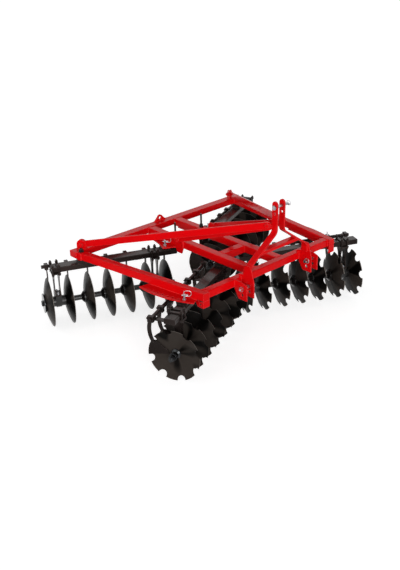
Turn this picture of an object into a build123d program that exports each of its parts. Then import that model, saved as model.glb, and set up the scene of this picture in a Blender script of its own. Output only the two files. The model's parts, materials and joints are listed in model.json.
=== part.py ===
"""Mounted X-type disc harrow: a welded box-tube frame, a three-point mast and four disc gangs.

Frame of the model: +Y forward, +X to the right of travel, +Z up, origin on the ground at the
middle of the bounding box.  The layout below is drawn with Y = 0 at the front beam's front face and
the whole machine is moved to its origin at the end.  Every gang is drawn on the right-hand side in
its own axes, with X outward along the gang, Y forward and the pivot on the Z axis, and the
left-hand gangs are mirror images.  Lengths are in millimetres and angles in degrees.
"""
from build123d import *
from collections import namedtuple
from math import atan2, cos, degrees, hypot, radians, sin, sqrt
import os

# ---------------------------------------------------------------- discs and gangs
DISC_DIAMETER = 460.0
DISC_THICKNESS = 5.0
DISH_DEPTH = 46.0
DISC_FLAT_RADIUS = 50.0
RIM_BEVEL = 5.0
DISCS_PER_GANG = 7
DISC_SPACING = 188.5
NOTCH_COUNT = 8
NOTCH_RADIUS = 37.0
NOTCH_CENTRE_INSET = 4.0
NOTCH_PHASE = -75.0

AXLE_SQUARE = 25.0
AXLE_CLEARANCE = 0.5
SPOOL_BELL_RADIUS = 56.0
SPOOL_BELL_WIDTH = 12.0
SPOOL_BELL_TAPER = 24.0
SPOOL_FOOT_RADIUS = 42.0
SPOOL_FOOT_WIDTH = 10.0
SPOOL_FOOT_TAPER = 12.0
SPOOL_TUBE_RADIUS = 26.0
SPOOL_BORE_SHARE = 0.74
JOURNAL_RADIUS = 33.0
BACK_PLATE_RADIUS = 92.0
BACK_PLATE_WIDTH = 14.0
BACK_PLATE_RIM = 12.0
END_SPACER_LENGTH = 62.0
NUT_ACROSS_FLATS = 50.0
NUT_HEIGHT = 30.0
NUT_WASHER_RADIUS = 33.0
NUT_WASHER_WIDTH = 6.0
BOLT_STUB = 26.0

BEARING_ROOM = 83.5
BEARING_RADIUS = 56.0
BEARING_BAND_RADIUS = 49.0
BEARING_BAND_WIDTH = 26.0
BEARING_FOOT_RISE = 14.0
BEARING_SHIFT = 28.0
RUNNING_CLEARANCE = 0.4

GANG_TUBE_WIDTH = 100.0
GANG_TUBE_HEIGHT = 50.0
GANG_TUBE_WALL = 5.0
GANG_TUBE_CORNER = 7.0
GANG_TUBE_TOP = 578.0
AXLE_LEAD = 18.0

CHEEK_THICKNESS = 8.0
CHEEK_SPACING = 40.0
SADDLE_THICKNESS = 12.0
SADDLE_LENGTH = 84.0
HANGER_WAIST = 30.0
HANGER_WAIST_RISE = 60.0
CLAMP_ROD_RADIUS = 8.0
CLAMP_MARGIN = 12.0
CLAMP_STRAP_WIDTH = 26.0
CLAMP_STRAP_HEIGHT = 10.0

SCRAPER_BAR_RADIUS = 17.0
SCRAPER_BAR_Z = 542.0
SCRAPER_BAR_OVERHANG = 40.0
SCRAPER_GAP = 5.5
SCRAPER_THICKNESS = 6.0
SCRAPER_BLADE_REACH = 226.0
SCRAPER_HEEL = 64.0
SCRAPER_HEEL_DROP = 12.0
SCRAPER_HEEL_WIDTH = 30.0
SCRAPER_TOE_DROP = 22.0
SCRAPER_TOE_RISE = 118.0
SCRAPER_ARM_WIDTH = 34.0
SCRAPER_ARM_THICKNESS = 10.0
SCRAPER_CLAMP = 26.0
SCRAPER_CLAMP_LENGTH = 34.0
SCRAPER_STAY_WIDTH = 46.0
SCRAPER_STAY_THICKNESS = 10.0
FRONT_BAR_SETBACK = 172.0
FRONT_ARM_BULGE = 26.0
FRONT_OUTER_STAY = 12.0
REAR_OUTER_STAY = -192.0
REAR_BAR_SETBACK = 98.0
REAR_ARM_BULGE = -56.0

# ---------------------------------------------------------------- frame
FRAME_TOP = 678.0
TUBE_HEIGHT = 70.0
TUBE_WIDTH = 70.0
TUBE_WALL = 5.0
TUBE_CORNER = 8.0
FRONT_HALF_WIDTH = 843.0
REAR_HALF_WIDTH = 1069.0
FRAME_LENGTH = 1535.0
REAR_BEAM_WIDTH = 96.0
REAR_BEAM_HEIGHT = 62.0
CENTRE_BEAM_X = 168.0
CENTRE_BEAM_WIDTH = 82.0
CROSS_BEAM_FRONT = -452.0
CROSS_BEAM_WIDTH = 80.0
SIDE_BEAM_NOSE = 20.0
CORNER_PLATE_LENGTH = 148.0
CORNER_PLATE_THICKNESS = 8.0
CORNER_BRACKET_LENGTH = 96.0
CORNER_BRACKET_WIDTH = 74.0
CORNER_BRACKET_DROP = 50.0
CORNER_BRACKET_THICKNESS = 10.0
CORNER_HOLE_RADIUS = 11.0
HOLD_DOWN_Y = -1084.0
HOLD_DOWN_RADIUS = 9.0
HOLD_DOWN_RISE = 138.0
HOLD_DOWN_NUT = 36.0
HOLD_DOWN_NUT_HEIGHT = 18.0

# ---------------------------------------------------------------- gang pivots and adjusting plates
FRONT_PIVOT = (CENTRE_BEAM_X, -467.5)
FRONT_ANGLE = 24.5
FRONT_LOCK_RADIUS = 823.0
FRONT_OUTER_HUB = 1052.0
FRONT_HOLES = 7
FRONT_FIRST_HOLE = 24.5
REAR_PIVOT = (1018.0, -1424.0)
REAR_ANGLE = 23.0
REAR_LOCK_RADIUS = 803.0
REAR_OUTER_HUB = 379.0
REAR_HOLES = 5
REAR_FIRST_HOLE = 23.0
HOLE_PITCH = 3.75
FRONT_PLATE_SWEEP = (-8.0, 31.0)
REAR_PLATE_SWEEP = (153.0, 177.5)
LOCK_PIN_RADIUS = 10.0
LOCK_PIN_RISE = 50.0
COLLAR_WIDTH = 7.0
COLLAR_HEIGHT = 8.0
PLATE_THICKNESS = 10.0
PLATE_MARGIN = 38.0
PIVOT_PIN_RADIUS = 13.0
PIVOT_PIN_REACH = 8.0
PAD_LENGTH = 90.0
PAD_INSET = 8.0
TUBE_OUTER_REACH_FRONT = 1128.0
TUBE_INNER_REACH_FRONT = 90.0
TUBE_OUTER_REACH_REAR = 293.0
TUBE_INNER_REACH_REAR = 905.0

# ---------------------------------------------------------------- mast, hitch and braces
MAST_Y = 68.0
MAST_TOP = 1284.0
MAST_BEND_Z = 1009.0
MAST_HALF_GAP = 38.0
MAST_BAR_WIDTH = 60.0
MAST_BAR_THICKNESS = 13.0
MAST_BEND_RADIUS = 60.0
MAST_FOOT_Z = 790.0
MAST_FOOT_LENGTH = 75.0
MAST_TIE_TOP = 890.0
MAST_TIE_HEIGHT = 28.0
TOP_LINK_Z = 1230.0
TOP_LINK_SPARE_Z = 1174.0
TOP_LINK_PIN_RADIUS = 12.5
TOP_LINK_TAIL = 42.0
TOP_LINK_NECK = 24.0
TOP_LINK_NECK_RADIUS = 9.0
HITCH_INNER_X = 375.0
HITCH_GAP = 75.0
HITCH_PLATE_THICKNESS = 10.0
HITCH_FRONT_Y = 142.0
HITCH_BOTTOM_Z = 520.0
HITCH_PIN_Y = 88.0
HITCH_PIN_Z = 620.0
HITCH_SPARE_Z = 565.0
HITCH_PIN_RADIUS = 14.0
BRACE_DEPTH = 62.0
BRACE_THICKNESS = 12.0
OUTER_BRACE_X = 962.0
BRACE_EAR_RADIUS = 47.0
OUTER_BRACE_Z = 717.0
OUTER_BRACE_MAST = (94.0, 26.0, 1073.0)
INNER_BRACE_Y = -977.0
INNER_BRACE_Z = 700.0
INNER_BRACE_STANDOFF = 17.0
BRACE_BOSS_RADIUS = 16.0
INNER_BRACE_MAST = (64.0, 22.0, 1053.0)
REAR_LUG_HOLE_RADIUS = 16.0
REAR_LUG_THICKNESS = 16.0
REAR_LUG_HOLE_Z = 708.0
REAR_LUG_INSET = 25.0
PIN_CLEARANCE = 0.5
PIN_HEAD_WIDTH = 8.0
PIN_HEAD_LENGTH = 12.0
PIN_TAIL = 26.0

# ---------------------------------------------------------------- values that follow
DISC_RADIUS = DISC_DIAMETER / 2
SPOOL_BORE_RADIUS = SPOOL_BORE_SHARE * AXLE_SQUARE
LOCK_HOLE_RADIUS = LOCK_PIN_RADIUS + PIN_CLEARANCE
TOP_LINK_HOLE_RADIUS = TOP_LINK_PIN_RADIUS + PIN_CLEARANCE
HITCH_HOLE_RADIUS = HITCH_PIN_RADIUS + PIN_CLEARANCE
FRAME_BOTTOM = FRAME_TOP - TUBE_HEIGHT
GANG_TUBE_MID = GANG_TUBE_TOP - GANG_TUBE_HEIGHT / 2
GANG_TUBE_BOTTOM = GANG_TUBE_TOP - GANG_TUBE_HEIGHT
PLATE_BOTTOM = FRAME_BOTTOM - PLATE_THICKNESS
SPOOL_LENGTH = DISC_SPACING - DISC_THICKNESS
BEARING_LENGTH = SPOOL_LENGTH - BEARING_ROOM
REAR_BEAM_FRONT = -FRAME_LENGTH + REAR_BEAM_WIDTH
REAR_BEAM_Y = -FRAME_LENGTH + REAR_BEAM_WIDTH / 2
SIDE_SPLAY = degrees(atan2(REAR_HALF_WIDTH - FRONT_HALF_WIDTH, FRAME_LENGTH))
CENTRE_BEAM_INNER = CENTRE_BEAM_X - CENTRE_BEAM_WIDTH / 2
CENTRE_BEAM_OUTER = CENTRE_BEAM_X + CENTRE_BEAM_WIDTH / 2
MAST_FACE = MAST_HALF_GAP + MAST_BAR_THICKNESS
MAST_TOP_X = MAST_HALF_GAP + MAST_BAR_THICKNESS / 2
MAST_FOOT_X = HITCH_INNER_X - HITCH_PLATE_THICKNESS - MAST_BAR_THICKNESS / 2
HITCH_OUTER_X = HITCH_INNER_X + HITCH_GAP

# The dish is a sphere about a centre on the gang's axis, cut off by the flat round the hub.
DISH_SPAN = DISC_RADIUS ** 2 - DISC_FLAT_RADIUS ** 2
DISH_CENTRE = (DISH_SPAN / DISH_DEPTH + DISH_DEPTH) / 2
DISH_RADIUS = hypot(DISH_CENTRE, DISC_FLAT_RADIUS)


def side_face_x(y):
    """X of the right side beam's outer face at the distance y along the machine."""
    return FRONT_HALF_WIDTH - y * (REAR_HALF_WIDTH - FRONT_HALF_WIDTH) / FRAME_LENGTH


def both_sides(*shapes):
    """The given right-hand shapes followed by their left-hand mirror images."""
    return list(shapes) + [mirror(s, about=Plane.YZ) for s in shapes]


def slab(low, high):
    """A box from its lowest to its highest corner."""
    size = [b - a for a, b in zip(low, high)]
    return Pos(*[(a + b) / 2 for a, b in zip(low, high)]) * Box(*size)


def level_plate(points, z, thickness):
    """A level plate with the given outline in plan, standing on height z."""
    outline = make_face(Polyline(*[(x, y, z) for x, y in points], close=True))
    return extrude(outline, amount=thickness, dir=(0, 0, 1))


def upright_plate(points, x, thickness):
    """A plate across X with the given (Y, Z) outline, its left face at x."""
    outline = make_face(Polyline(*[(x, y, z) for y, z in points], close=True))
    return extrude(outline, amount=thickness, dir=(1, 0, 0))


def round_bar(radius, start, end):
    """A round bar between two points."""
    run = Vector(*end) - Vector(*start)
    return extrude(Plane(origin=start, z_dir=run) * Circle(radius), amount=run.length)


def bar_core(length, width, height, corner):
    """A solid bar of rounded rectangular section along X from 0 to length, centred on the X axis."""
    return extrude(Plane.YZ * RectangleRounded(width, height, corner), amount=length)


def box_tube(length, width, height, wall, corner):
    """A rounded box tube along X from 0 to length, both ends closed by plates as thick as the wall."""
    core = bar_core(length - 2 * wall, width - 2 * wall, height - 2 * wall, corner - wall)
    return bar_core(length, width, height, corner) - Pos(wall, 0, 0) * core


# ---------------------------------------------------------------- pieces of one gang, in its own axes
def dish_x(radius, depth=0.0):
    """Distance along the axis of the dished face at a radius, on the face that far inside the back."""
    return DISH_CENTRE - sqrt((DISH_RADIUS - depth) ** 2 - radius ** 2)


def disc(notched):
    """One disc on the X axis: flat hub face at X = 0, hollow side towards +X."""
    flat = sqrt((DISH_RADIUS - DISC_THICKNESS) ** 2 - (DISH_CENTRE - DISC_THICKNESS) ** 2)
    edge = DISC_RADIUS - RIM_BEVEL
    rim = (dish_x(DISC_RADIUS, DISC_THICKNESS), DISC_RADIUS)
    mid_back = (DISC_FLAT_RADIUS + edge) / 2
    mid_front = (DISC_RADIUS + flat) / 2
    profile = make_face(
        Line((0, 0), (0, DISC_FLAT_RADIUS))
        + ThreePointArc((0, DISC_FLAT_RADIUS), (dish_x(mid_back), mid_back), (dish_x(edge), edge))
        + Line((dish_x(edge), edge), rim)
        + ThreePointArc(rim, (dish_x(mid_front, DISC_THICKNESS), mid_front), (DISC_THICKNESS, flat))
        + Line((DISC_THICKNESS, flat), (DISC_THICKNESS, 0))
        + Line((DISC_THICKNESS, 0), (0, 0)))
    body = revolve(profile, axis=Axis.X)
    eye = AXLE_SQUARE + 2 * AXLE_CLEARANCE
    body -= Box(4 * DISC_THICKNESS, eye, eye)
    if notched:
        reach = DISC_RADIUS - NOTCH_CENTRE_INSET
        for k in range(NOTCH_COUNT):
            angle = radians(NOTCH_PHASE + 360 * k / NOTCH_COUNT)
            at = (0, reach * cos(angle), reach * sin(angle))
            body -= round_bar(NOTCH_RADIUS, at, (2 * DISH_DEPTH, at[1], at[2]))
    return body


def spool(journal):
    """A cast spacer between two discs, its bell towards +X on the next disc's back.

    With a journal it has one plain running surface in place of the tapers and the thin tube.
    """
    half = SPOOL_LENGTH / 2
    bell, foot = half - SPOOL_BELL_WIDTH, SPOOL_FOOT_WIDTH - half
    tube = JOURNAL_RADIUS if journal else SPOOL_TUBE_RADIUS
    bell_run, foot_run = (0.0, 0.0) if journal else (SPOOL_BELL_TAPER, SPOOL_FOOT_TAPER)
    bell_radius = BEARING_BAND_RADIUS if journal else SPOOL_BELL_RADIUS
    profile = Polyline((-half, SPOOL_BORE_RADIUS), (-half, SPOOL_FOOT_RADIUS), (foot, SPOOL_FOOT_RADIUS),
                       (foot + foot_run, tube), (bell - bell_run, tube), (bell, bell_radius),
                       (half, bell_radius), (half, SPOOL_BORE_RADIUS), close=True)
    return revolve(make_face(profile), axis=Axis.X)


def gang_axle(back, hollow_end):
    """The square through-bolt from the plate behind the last disc's back to the nut at the hollow end."""
    half = AXLE_SQUARE / 2
    nut = hollow_end + END_SPACER_LENGTH + NUT_WASHER_WIDTH
    bar = slab((back - BACK_PLATE_WIDTH, -half, -half), (nut + NUT_HEIGHT + BOLT_STUB, half, half))
    plate = Polyline((back, 0), (back, BACK_PLATE_RADIUS - BACK_PLATE_RIM), (back - BACK_PLATE_WIDTH / 2, BACK_PLATE_RADIUS),
                     (back - BACK_PLATE_WIDTH, BACK_PLATE_RADIUS), (back - BACK_PLATE_WIDTH, 0), close=True)
    spacer = Polyline((hollow_end, 0), (hollow_end, SPOOL_FOOT_RADIUS), (hollow_end + SPOOL_FOOT_WIDTH, SPOOL_FOOT_RADIUS),
                      (hollow_end + SPOOL_FOOT_WIDTH + SPOOL_FOOT_TAPER, SPOOL_TUBE_RADIUS),
                      (nut - NUT_WASHER_WIDTH, SPOOL_TUBE_RADIUS), (nut - NUT_WASHER_WIDTH, NUT_WASHER_RADIUS),
                      (nut, NUT_WASHER_RADIUS), (nut, 0), close=True)
    for profile in (plate, spacer):
        bar += revolve(make_face(profile), axis=Axis.X)
    hexagon = Plane(origin=(nut, 0, 0), z_dir=(1, 0, 0)) * RegularPolygon(NUT_ACROSS_FLATS / 2, 6, major_radius=False)
    return bar + extrude(hexagon, amount=NUT_HEIGHT)


def bearing():
    """A bearing housing round the journal: a barrel with two end bands and a foot for the hanger."""
    half = BEARING_LENGTH / 2
    foot_half = CHEEK_SPACING / 2 + CHEEK_THICKNESS
    barrel = round_bar(BEARING_BAND_RADIUS, (-half, 0, 0), (half, 0, 0))
    barrel += round_bar(BEARING_RADIUS, (BEARING_BAND_WIDTH - half, 0, 0), (half - BEARING_BAND_WIDTH, 0, 0))
    foot = slab((-foot_half, -BEARING_RADIUS, 0), (foot_half, BEARING_RADIUS, BEARING_RADIUS + BEARING_FOOT_RISE))
    bore = round_bar(JOURNAL_RADIUS + RUNNING_CLEARANCE, (-half, 0, 0), (half, 0, 0))
    return barrel + foot - bore


def hanger():
    """Two waisted cheeks from the bearing foot to a saddle under the gang tube, with a base plate."""
    top = GANG_TUBE_BOTTOM - SADDLE_THICKNESS
    foot = DISC_RADIUS + BEARING_RADIUS + BEARING_FOOT_RISE
    wide = GANG_TUBE_WIDTH / 2 + CLAMP_ROD_RADIUS + CLAMP_MARGIN
    low, mid_y = BEARING_RADIUS, AXLE_LEAD
    half = CHEEK_SPACING / 2 + CHEEK_THICKNESS
    front = (mid_y + HANGER_WAIST, foot + HANGER_WAIST_RISE)
    rear = (mid_y - HANGER_WAIST, foot + HANGER_WAIST_RISE)
    outline = make_face(Plane.YZ * (
        Line((-wide, top), (wide, top))
        + ThreePointArc((wide, top), front, (mid_y + low, foot))
        + Line((mid_y + low, foot), (mid_y - low, foot))
        + ThreePointArc((mid_y - low, foot), rear, (-wide, top))))
    post = slab((-SADDLE_LENGTH / 2, -wide, top), (SADDLE_LENGTH / 2, wide, GANG_TUBE_BOTTOM))
    post += slab((-half, mid_y - low, foot), (half, mid_y + low, foot + SADDLE_THICKNESS))
    for x in (-half, half - CHEEK_THICKNESS):
        post += Pos(x, 0, 0) * extrude(outline, amount=CHEEK_THICKNESS, dir=(1, 0, 0))
    return post


def clamp(x):
    """Two U-bolts over the gang tube at a hanger, each a strap on top with a threaded leg each side."""
    side = (SADDLE_LENGTH - CLAMP_STRAP_WIDTH) / 2
    leg_y = GANG_TUBE_WIDTH / 2 + CLAMP_ROD_RADIUS
    top = GANG_TUBE_TOP + CLAMP_STRAP_HEIGHT
    bolts = []
    for at in (x - side, x + side):
        strap = slab((at - CLAMP_STRAP_WIDTH / 2, -leg_y - CLAMP_MARGIN, GANG_TUBE_TOP),
                     (at + CLAMP_STRAP_WIDTH / 2, leg_y + CLAMP_MARGIN, top))
        for y in (-leg_y, leg_y):
            strap += round_bar(CLAMP_ROD_RADIUS, (at, y, GANG_TUBE_BOTTOM), (at, y, top + CLAMP_ROD_RADIUS))
        bolts.append(strap)
    return bolts


def scraper(setback, bulge):
    """A curved blade a fixed gap off the hollow face, and the sickle arm that clamps to the scraper bar.

    The blade is cut from a spherical shell by its outline seen along the axle: a narrow heel near the
    hub and a broad toe at the rim, behind the axle.
    """
    skin = DISH_RADIUS - DISC_THICKNESS - SCRAPER_GAP
    shell = Sphere(skin) - Sphere(skin - SCRAPER_THICKNESS)
    reach = SCRAPER_BLADE_REACH
    toe_y = sqrt(reach ** 2 - SCRAPER_TOE_RISE ** 2)
    sweep_mid = radians(10.0)
    outline = make_face(Plane.YZ * (
        Line((-SCRAPER_HEEL, -SCRAPER_HEEL_DROP), (-sqrt(reach ** 2 - SCRAPER_TOE_DROP ** 2), -SCRAPER_TOE_DROP))
        + ThreePointArc((-sqrt(reach ** 2 - SCRAPER_TOE_DROP ** 2), -SCRAPER_TOE_DROP),
                        (-reach * cos(sweep_mid), reach * sin(sweep_mid)), (-toe_y, SCRAPER_TOE_RISE))
        + Line((-toe_y, SCRAPER_TOE_RISE), (-toe_y + SCRAPER_ARM_WIDTH, SCRAPER_TOE_RISE))
        + ThreePointArc((-toe_y + SCRAPER_ARM_WIDTH, SCRAPER_TOE_RISE),
                        (-(toe_y + SCRAPER_HEEL) / 2 + SCRAPER_ARM_WIDTH / 2, SCRAPER_TOE_RISE / 2),
                        (-SCRAPER_HEEL, SCRAPER_HEEL_WIDTH - SCRAPER_HEEL_DROP))
        + Line((-SCRAPER_HEEL, SCRAPER_HEEL_WIDTH - SCRAPER_HEEL_DROP), (-SCRAPER_HEEL, -SCRAPER_HEEL_DROP))))
    prism = extrude(outline, amount=DISC_RADIUS, dir=(1, 0, 0))
    blade = Pos(0, AXLE_LEAD, DISC_RADIUS) * ((Pos(DISH_CENTRE, 0, 0) * shell) & prism)
    start = dish_x(reach, DISC_THICKNESS + SCRAPER_GAP)
    half = SCRAPER_ARM_WIDTH / 2
    foot_y, foot_z = AXLE_LEAD - toe_y + half, DISC_RADIUS + SCRAPER_TOE_RISE
    mid_y, mid_z = (foot_y - setback) / 2 - bulge, (SCRAPER_BAR_Z + foot_z) / 2
    sickle = make_face(Plane.YZ * (
        Line((half - setback, SCRAPER_BAR_Z), (-half - setback, SCRAPER_BAR_Z))
        + ThreePointArc((-half - setback, SCRAPER_BAR_Z), (mid_y - half, mid_z), (foot_y - half, foot_z - half))
        + Line((foot_y - half, foot_z - half), (foot_y + half, foot_z - half))
        + ThreePointArc((foot_y + half, foot_z - half), (mid_y + half, mid_z), (half - setback, SCRAPER_BAR_Z))))
    arm = Pos(start, 0, 0) * extrude(sickle, amount=SCRAPER_ARM_THICKNESS, dir=(1, 0, 0))
    middle = start + SCRAPER_ARM_THICKNESS / 2
    arm += slab((middle - SCRAPER_CLAMP_LENGTH / 2, -setback - SCRAPER_CLAMP, SCRAPER_BAR_Z - SCRAPER_CLAMP),
                (middle + SCRAPER_CLAMP_LENGTH / 2, -setback + SCRAPER_CLAMP, SCRAPER_BAR_Z + SCRAPER_CLAMP))
    return blade + arm - round_bar(SCRAPER_BAR_RADIUS, (-DISC_RADIUS, -setback, SCRAPER_BAR_Z),
                                   (DISC_RADIUS, -setback, SCRAPER_BAR_Z))


def gang_beam(inner, outer, pads):
    """The flat box tube of a gang with end caps and the wear pads that slide under the frame."""
    half = GANG_TUBE_WIDTH / 2
    body = Pos(inner, 0, GANG_TUBE_MID) * box_tube(
        outer - inner, GANG_TUBE_WIDTH, GANG_TUBE_HEIGHT, GANG_TUBE_WALL, GANG_TUBE_CORNER)
    for x, top in pads:
        body += slab((x - PAD_LENGTH / 2, PAD_INSET - half, GANG_TUBE_TOP - GANG_TUBE_WALL),
                     (x + PAD_LENGTH / 2, half - PAD_INSET, top - RUNNING_CLEARANCE))
    return body


def scraper_bar(inner, outer, stays, setback):
    """The round bar that carries the scrapers, on flat stays welded under the gang tube."""
    half = SCRAPER_STAY_WIDTH / 2
    bar = round_bar(SCRAPER_BAR_RADIUS, (inner, -setback, SCRAPER_BAR_Z), (outer, -setback, SCRAPER_BAR_Z))
    for x in stays:
        bar += slab((x - half, -setback - SCRAPER_BAR_RADIUS, GANG_TUBE_BOTTOM - SCRAPER_STAY_THICKNESS),
                    (x + half, GANG_TUBE_WIDTH / 4, GANG_TUBE_BOTTOM))
    return bar


def gang(angle, pivot, outer_hub, hollow, notched, reach, pads, setback, bulge, outer_stay):
    """All solids of one right-hand gang in machine axes, by piece name.

    hollow is +1 when the discs' hollow sides face outward and -1 when they face inward.
    """
    place = Pos(pivot[0], pivot[1], 0) * Rot(0, 0, angle)
    on_axle = Pos(0, AXLE_LEAD, DISC_RADIUS)
    hubs = [outer_hub - DISC_SPACING * k for k in range(DISCS_PER_GANG)]
    gaps = [(a + b) / 2 for a, b in zip(hubs, hubs[1:])]
    bearing_gaps = (gaps[0], gaps[-1])
    hangers = [x + hollow * BEARING_SHIFT for x in bearing_gaps]
    half = DISC_THICKNESS / 2
    backs = [x - hollow * half for x in hubs]
    axle = gang_axle(min(hollow * x for x in hubs) - half, max(hollow * x for x in hubs) + half)
    pieces = [disc(notched), scraper(setback, bulge), spool(False), spool(True), axle]
    if hollow < 0:
        pieces = [mirror(s, about=Plane.YZ) for s in pieces]
    one_disc, one_scraper, plain_spool, bearing_spool, axle = pieces
    arm = hollow * dish_x(SCRAPER_BLADE_REACH, DISC_THICKNESS + SCRAPER_GAP)
    bar_ends = (backs[-1] + arm - SCRAPER_BAR_OVERHANG, backs[0] + arm + SCRAPER_BAR_OVERHANG)
    stays = [hubs[0] + outer_stay, gaps[2] + arm, gaps[4] + arm]
    pin_floor = GANG_TUBE_BOTTOM - PIVOT_PIN_REACH - RUNNING_CLEARANCE
    pin_hole = round_bar(PIVOT_PIN_RADIUS + RUNNING_CLEARANCE, (0, 0, pin_floor), (0, 0, FRAME_TOP))
    pieces = {
        "gang_beam": [gang_beam(-reach[0], reach[1], pads) - pin_hole],
        "hangers": [Pos(x, 0, 0) * hanger() - pin_hole for x in hangers],
        "clamps": [s for x in hangers if abs(x) > PAD_LENGTH for s in clamp(x)],
        "bearings": [on_axle * Pos(x, 0, 0) * bearing() for x in hangers],
        "scraper_bar": [scraper_bar(*bar_ends, stays, setback)],
        "scrapers": [Pos(x, 0, 0) * one_scraper for x in backs],
        "discs": [on_axle * Pos(x, 0, 0) * one_disc for x in backs],
        "spools": [on_axle * Pos(x, 0, 0) * (bearing_spool if x in bearing_gaps else plain_spool) for x in gaps],
        "axle": [on_axle * axle],
    }
    return {name: [place * s for s in solids] for name, solids in pieces.items()}


# ---------------------------------------------------------------- pieces of the frame
def side_beam():
    """The right side beam, splayed outward to the rear, with its nose ahead of the front beam."""
    spare = 2 * TUBE_WIDTH
    length = FRAME_LENGTH / cos(radians(SIDE_SPLAY)) + 2 * spare
    start = Pos(FRONT_HALF_WIDTH, 0, FRAME_TOP - TUBE_HEIGHT / 2) * Rot(0, 0, SIDE_SPLAY - 90)
    start *= Pos(-spare, -TUBE_WIDTH / 2, 0)
    bar = start * bar_core(length, TUBE_WIDTH, TUBE_HEIGHT, TUBE_CORNER)
    core = start * bar_core(length, TUBE_WIDTH - 2 * TUBE_WALL, TUBE_HEIGHT - 2 * TUBE_WALL,
                            TUBE_CORNER - TUBE_WALL)
    far, high = 2 * REAR_HALF_WIDTH, FRAME_TOP + TUBE_HEIGHT
    bar &= slab((0, REAR_BEAM_FRONT, 0), (far, SIDE_BEAM_NOSE, high))
    return bar - (core & slab((0, REAR_BEAM_FRONT, 0), (far, SIDE_BEAM_NOSE - TUBE_WALL, high)))


def cross_tube(half, y_back, width, height):
    """A box tube across the machine, its rear face at y_back and its top level with the frame."""
    tube = box_tube(2 * half, width, height, TUBE_WALL, TUBE_CORNER)
    return Pos(-half, y_back + width / 2, FRAME_TOP - height / 2) * tube


def front_beam():
    """The front cross tube, its ends cut to the splay of the side beams."""
    tube = cross_tube(FRONT_HALF_WIDTH, -TUBE_WIDTH, TUBE_WIDTH, TUBE_HEIGHT)
    ends = [(side * (side_face_x(y) - TUBE_WIDTH / cos(radians(SIDE_SPLAY))), y)
            for side, y in ((-1, 0), (-1, -TUBE_WIDTH), (1, -TUBE_WIDTH), (1, 0))]
    return tube & level_plate(ends, FRAME_BOTTOM, TUBE_HEIGHT)


def centre_beam():
    """One of the two fore-and-aft beams between the front and rear beams."""
    length = -TUBE_WIDTH - REAR_BEAM_FRONT
    tube = box_tube(length, CENTRE_BEAM_WIDTH, TUBE_HEIGHT, TUBE_WALL, TUBE_CORNER)
    return Pos(CENTRE_BEAM_X, REAR_BEAM_FRONT, FRAME_TOP - TUBE_HEIGHT / 2) * Rot(0, 0, 90) * tube


def ring_sector(pivot, inner, outer, sweep):
    """A level plate in the shape of a ring sector about a gang pivot, its two angles from the X axis."""
    ring = Circle(outer) - Circle(inner)
    far = 2 * outer
    rays = [radians(a) for a in (sweep[0], sum(sweep) / 2, sweep[1])]
    wedge = make_face(Polyline((0, 0), *[(far * cos(a), far * sin(a)) for a in rays], close=True))
    return Pos(pivot[0], pivot[1], PLATE_BOTTOM) * extrude(ring & wedge, amount=PLATE_THICKNESS)


def lock_holes(pivot, radius, first, count, way):
    """Places of the locking holes on their arc; way is +1 outward and forward, -1 inward and forward."""
    angles = [radians(first - HOLE_PITCH * k) for k in range(count)]
    return [(pivot[0] + way * radius * cos(a), pivot[1] + radius * sin(a)) for a in angles]


def drilled(plate, holes):
    """The plate with a locking hole at each place."""
    for x, y in holes:
        plate -= round_bar(LOCK_HOLE_RADIUS, (x, y, PLATE_BOTTOM), (x, y, FRAME_BOTTOM))
    return plate


def front_plate():
    """The right front adjusting plate: a sector under the side beam with a row of locking holes."""
    plate = ring_sector(FRONT_PIVOT, FRONT_LOCK_RADIUS / 2, FRONT_LOCK_RADIUS + PLATE_MARGIN, FRONT_PLATE_SWEEP)
    inner = [(side_face_x(y) - TUBE_WIDTH, y) for y in (0.0, -FRAME_LENGTH)]
    far = 2 * REAR_HALF_WIDTH
    plate &= level_plate(inner + [(far, -FRAME_LENGTH), (far, 0.0)], PLATE_BOTTOM, PLATE_THICKNESS)
    return drilled(plate, lock_holes(FRONT_PIVOT, FRONT_LOCK_RADIUS, FRONT_FIRST_HOLE, FRONT_HOLES, 1))


def rear_plate():
    """The right rear adjusting plate: a sector under the centre beam with its row of holes."""
    plate = ring_sector(REAR_PIVOT, REAR_LOCK_RADIUS - PLATE_MARGIN, 2 * REAR_LOCK_RADIUS, REAR_PLATE_SWEEP)
    plate &= slab((CENTRE_BEAM_INNER, -FRAME_LENGTH, PLATE_BOTTOM), (REAR_PIVOT[0], 0, FRAME_BOTTOM))
    return drilled(plate, lock_holes(REAR_PIVOT, REAR_LOCK_RADIUS, REAR_FIRST_HOLE, REAR_HOLES, -1))


def corner_bracket():
    """The angle bracket under the front right corner: a front plate and a drilled side plate."""
    outer, low = side_face_x(0), PLATE_BOTTOM - CORNER_BRACKET_DROP
    inner, back = outer - CORNER_BRACKET_WIDTH, SIDE_BEAM_NOSE - CORNER_BRACKET_LENGTH
    front = slab((inner, SIDE_BEAM_NOSE - CORNER_BRACKET_THICKNESS, low), (outer, SIDE_BEAM_NOSE, FRAME_BOTTOM))
    side = upright_plate([(back, PLATE_BOTTOM), (back + CORNER_BRACKET_DROP / 2, low), (SIDE_BEAM_NOSE, low),
                          (SIDE_BEAM_NOSE, PLATE_BOTTOM)],
                         outer - CORNER_BRACKET_THICKNESS, CORNER_BRACKET_THICKNESS)
    y, z = (back + SIDE_BEAM_NOSE) / 2 + CORNER_HOLE_RADIUS, low + CORNER_BRACKET_DROP / 2
    hole = round_bar(CORNER_HOLE_RADIUS, (outer - CORNER_BRACKET_THICKNESS, y, z), (outer, y, z))
    return front + side - hole


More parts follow.
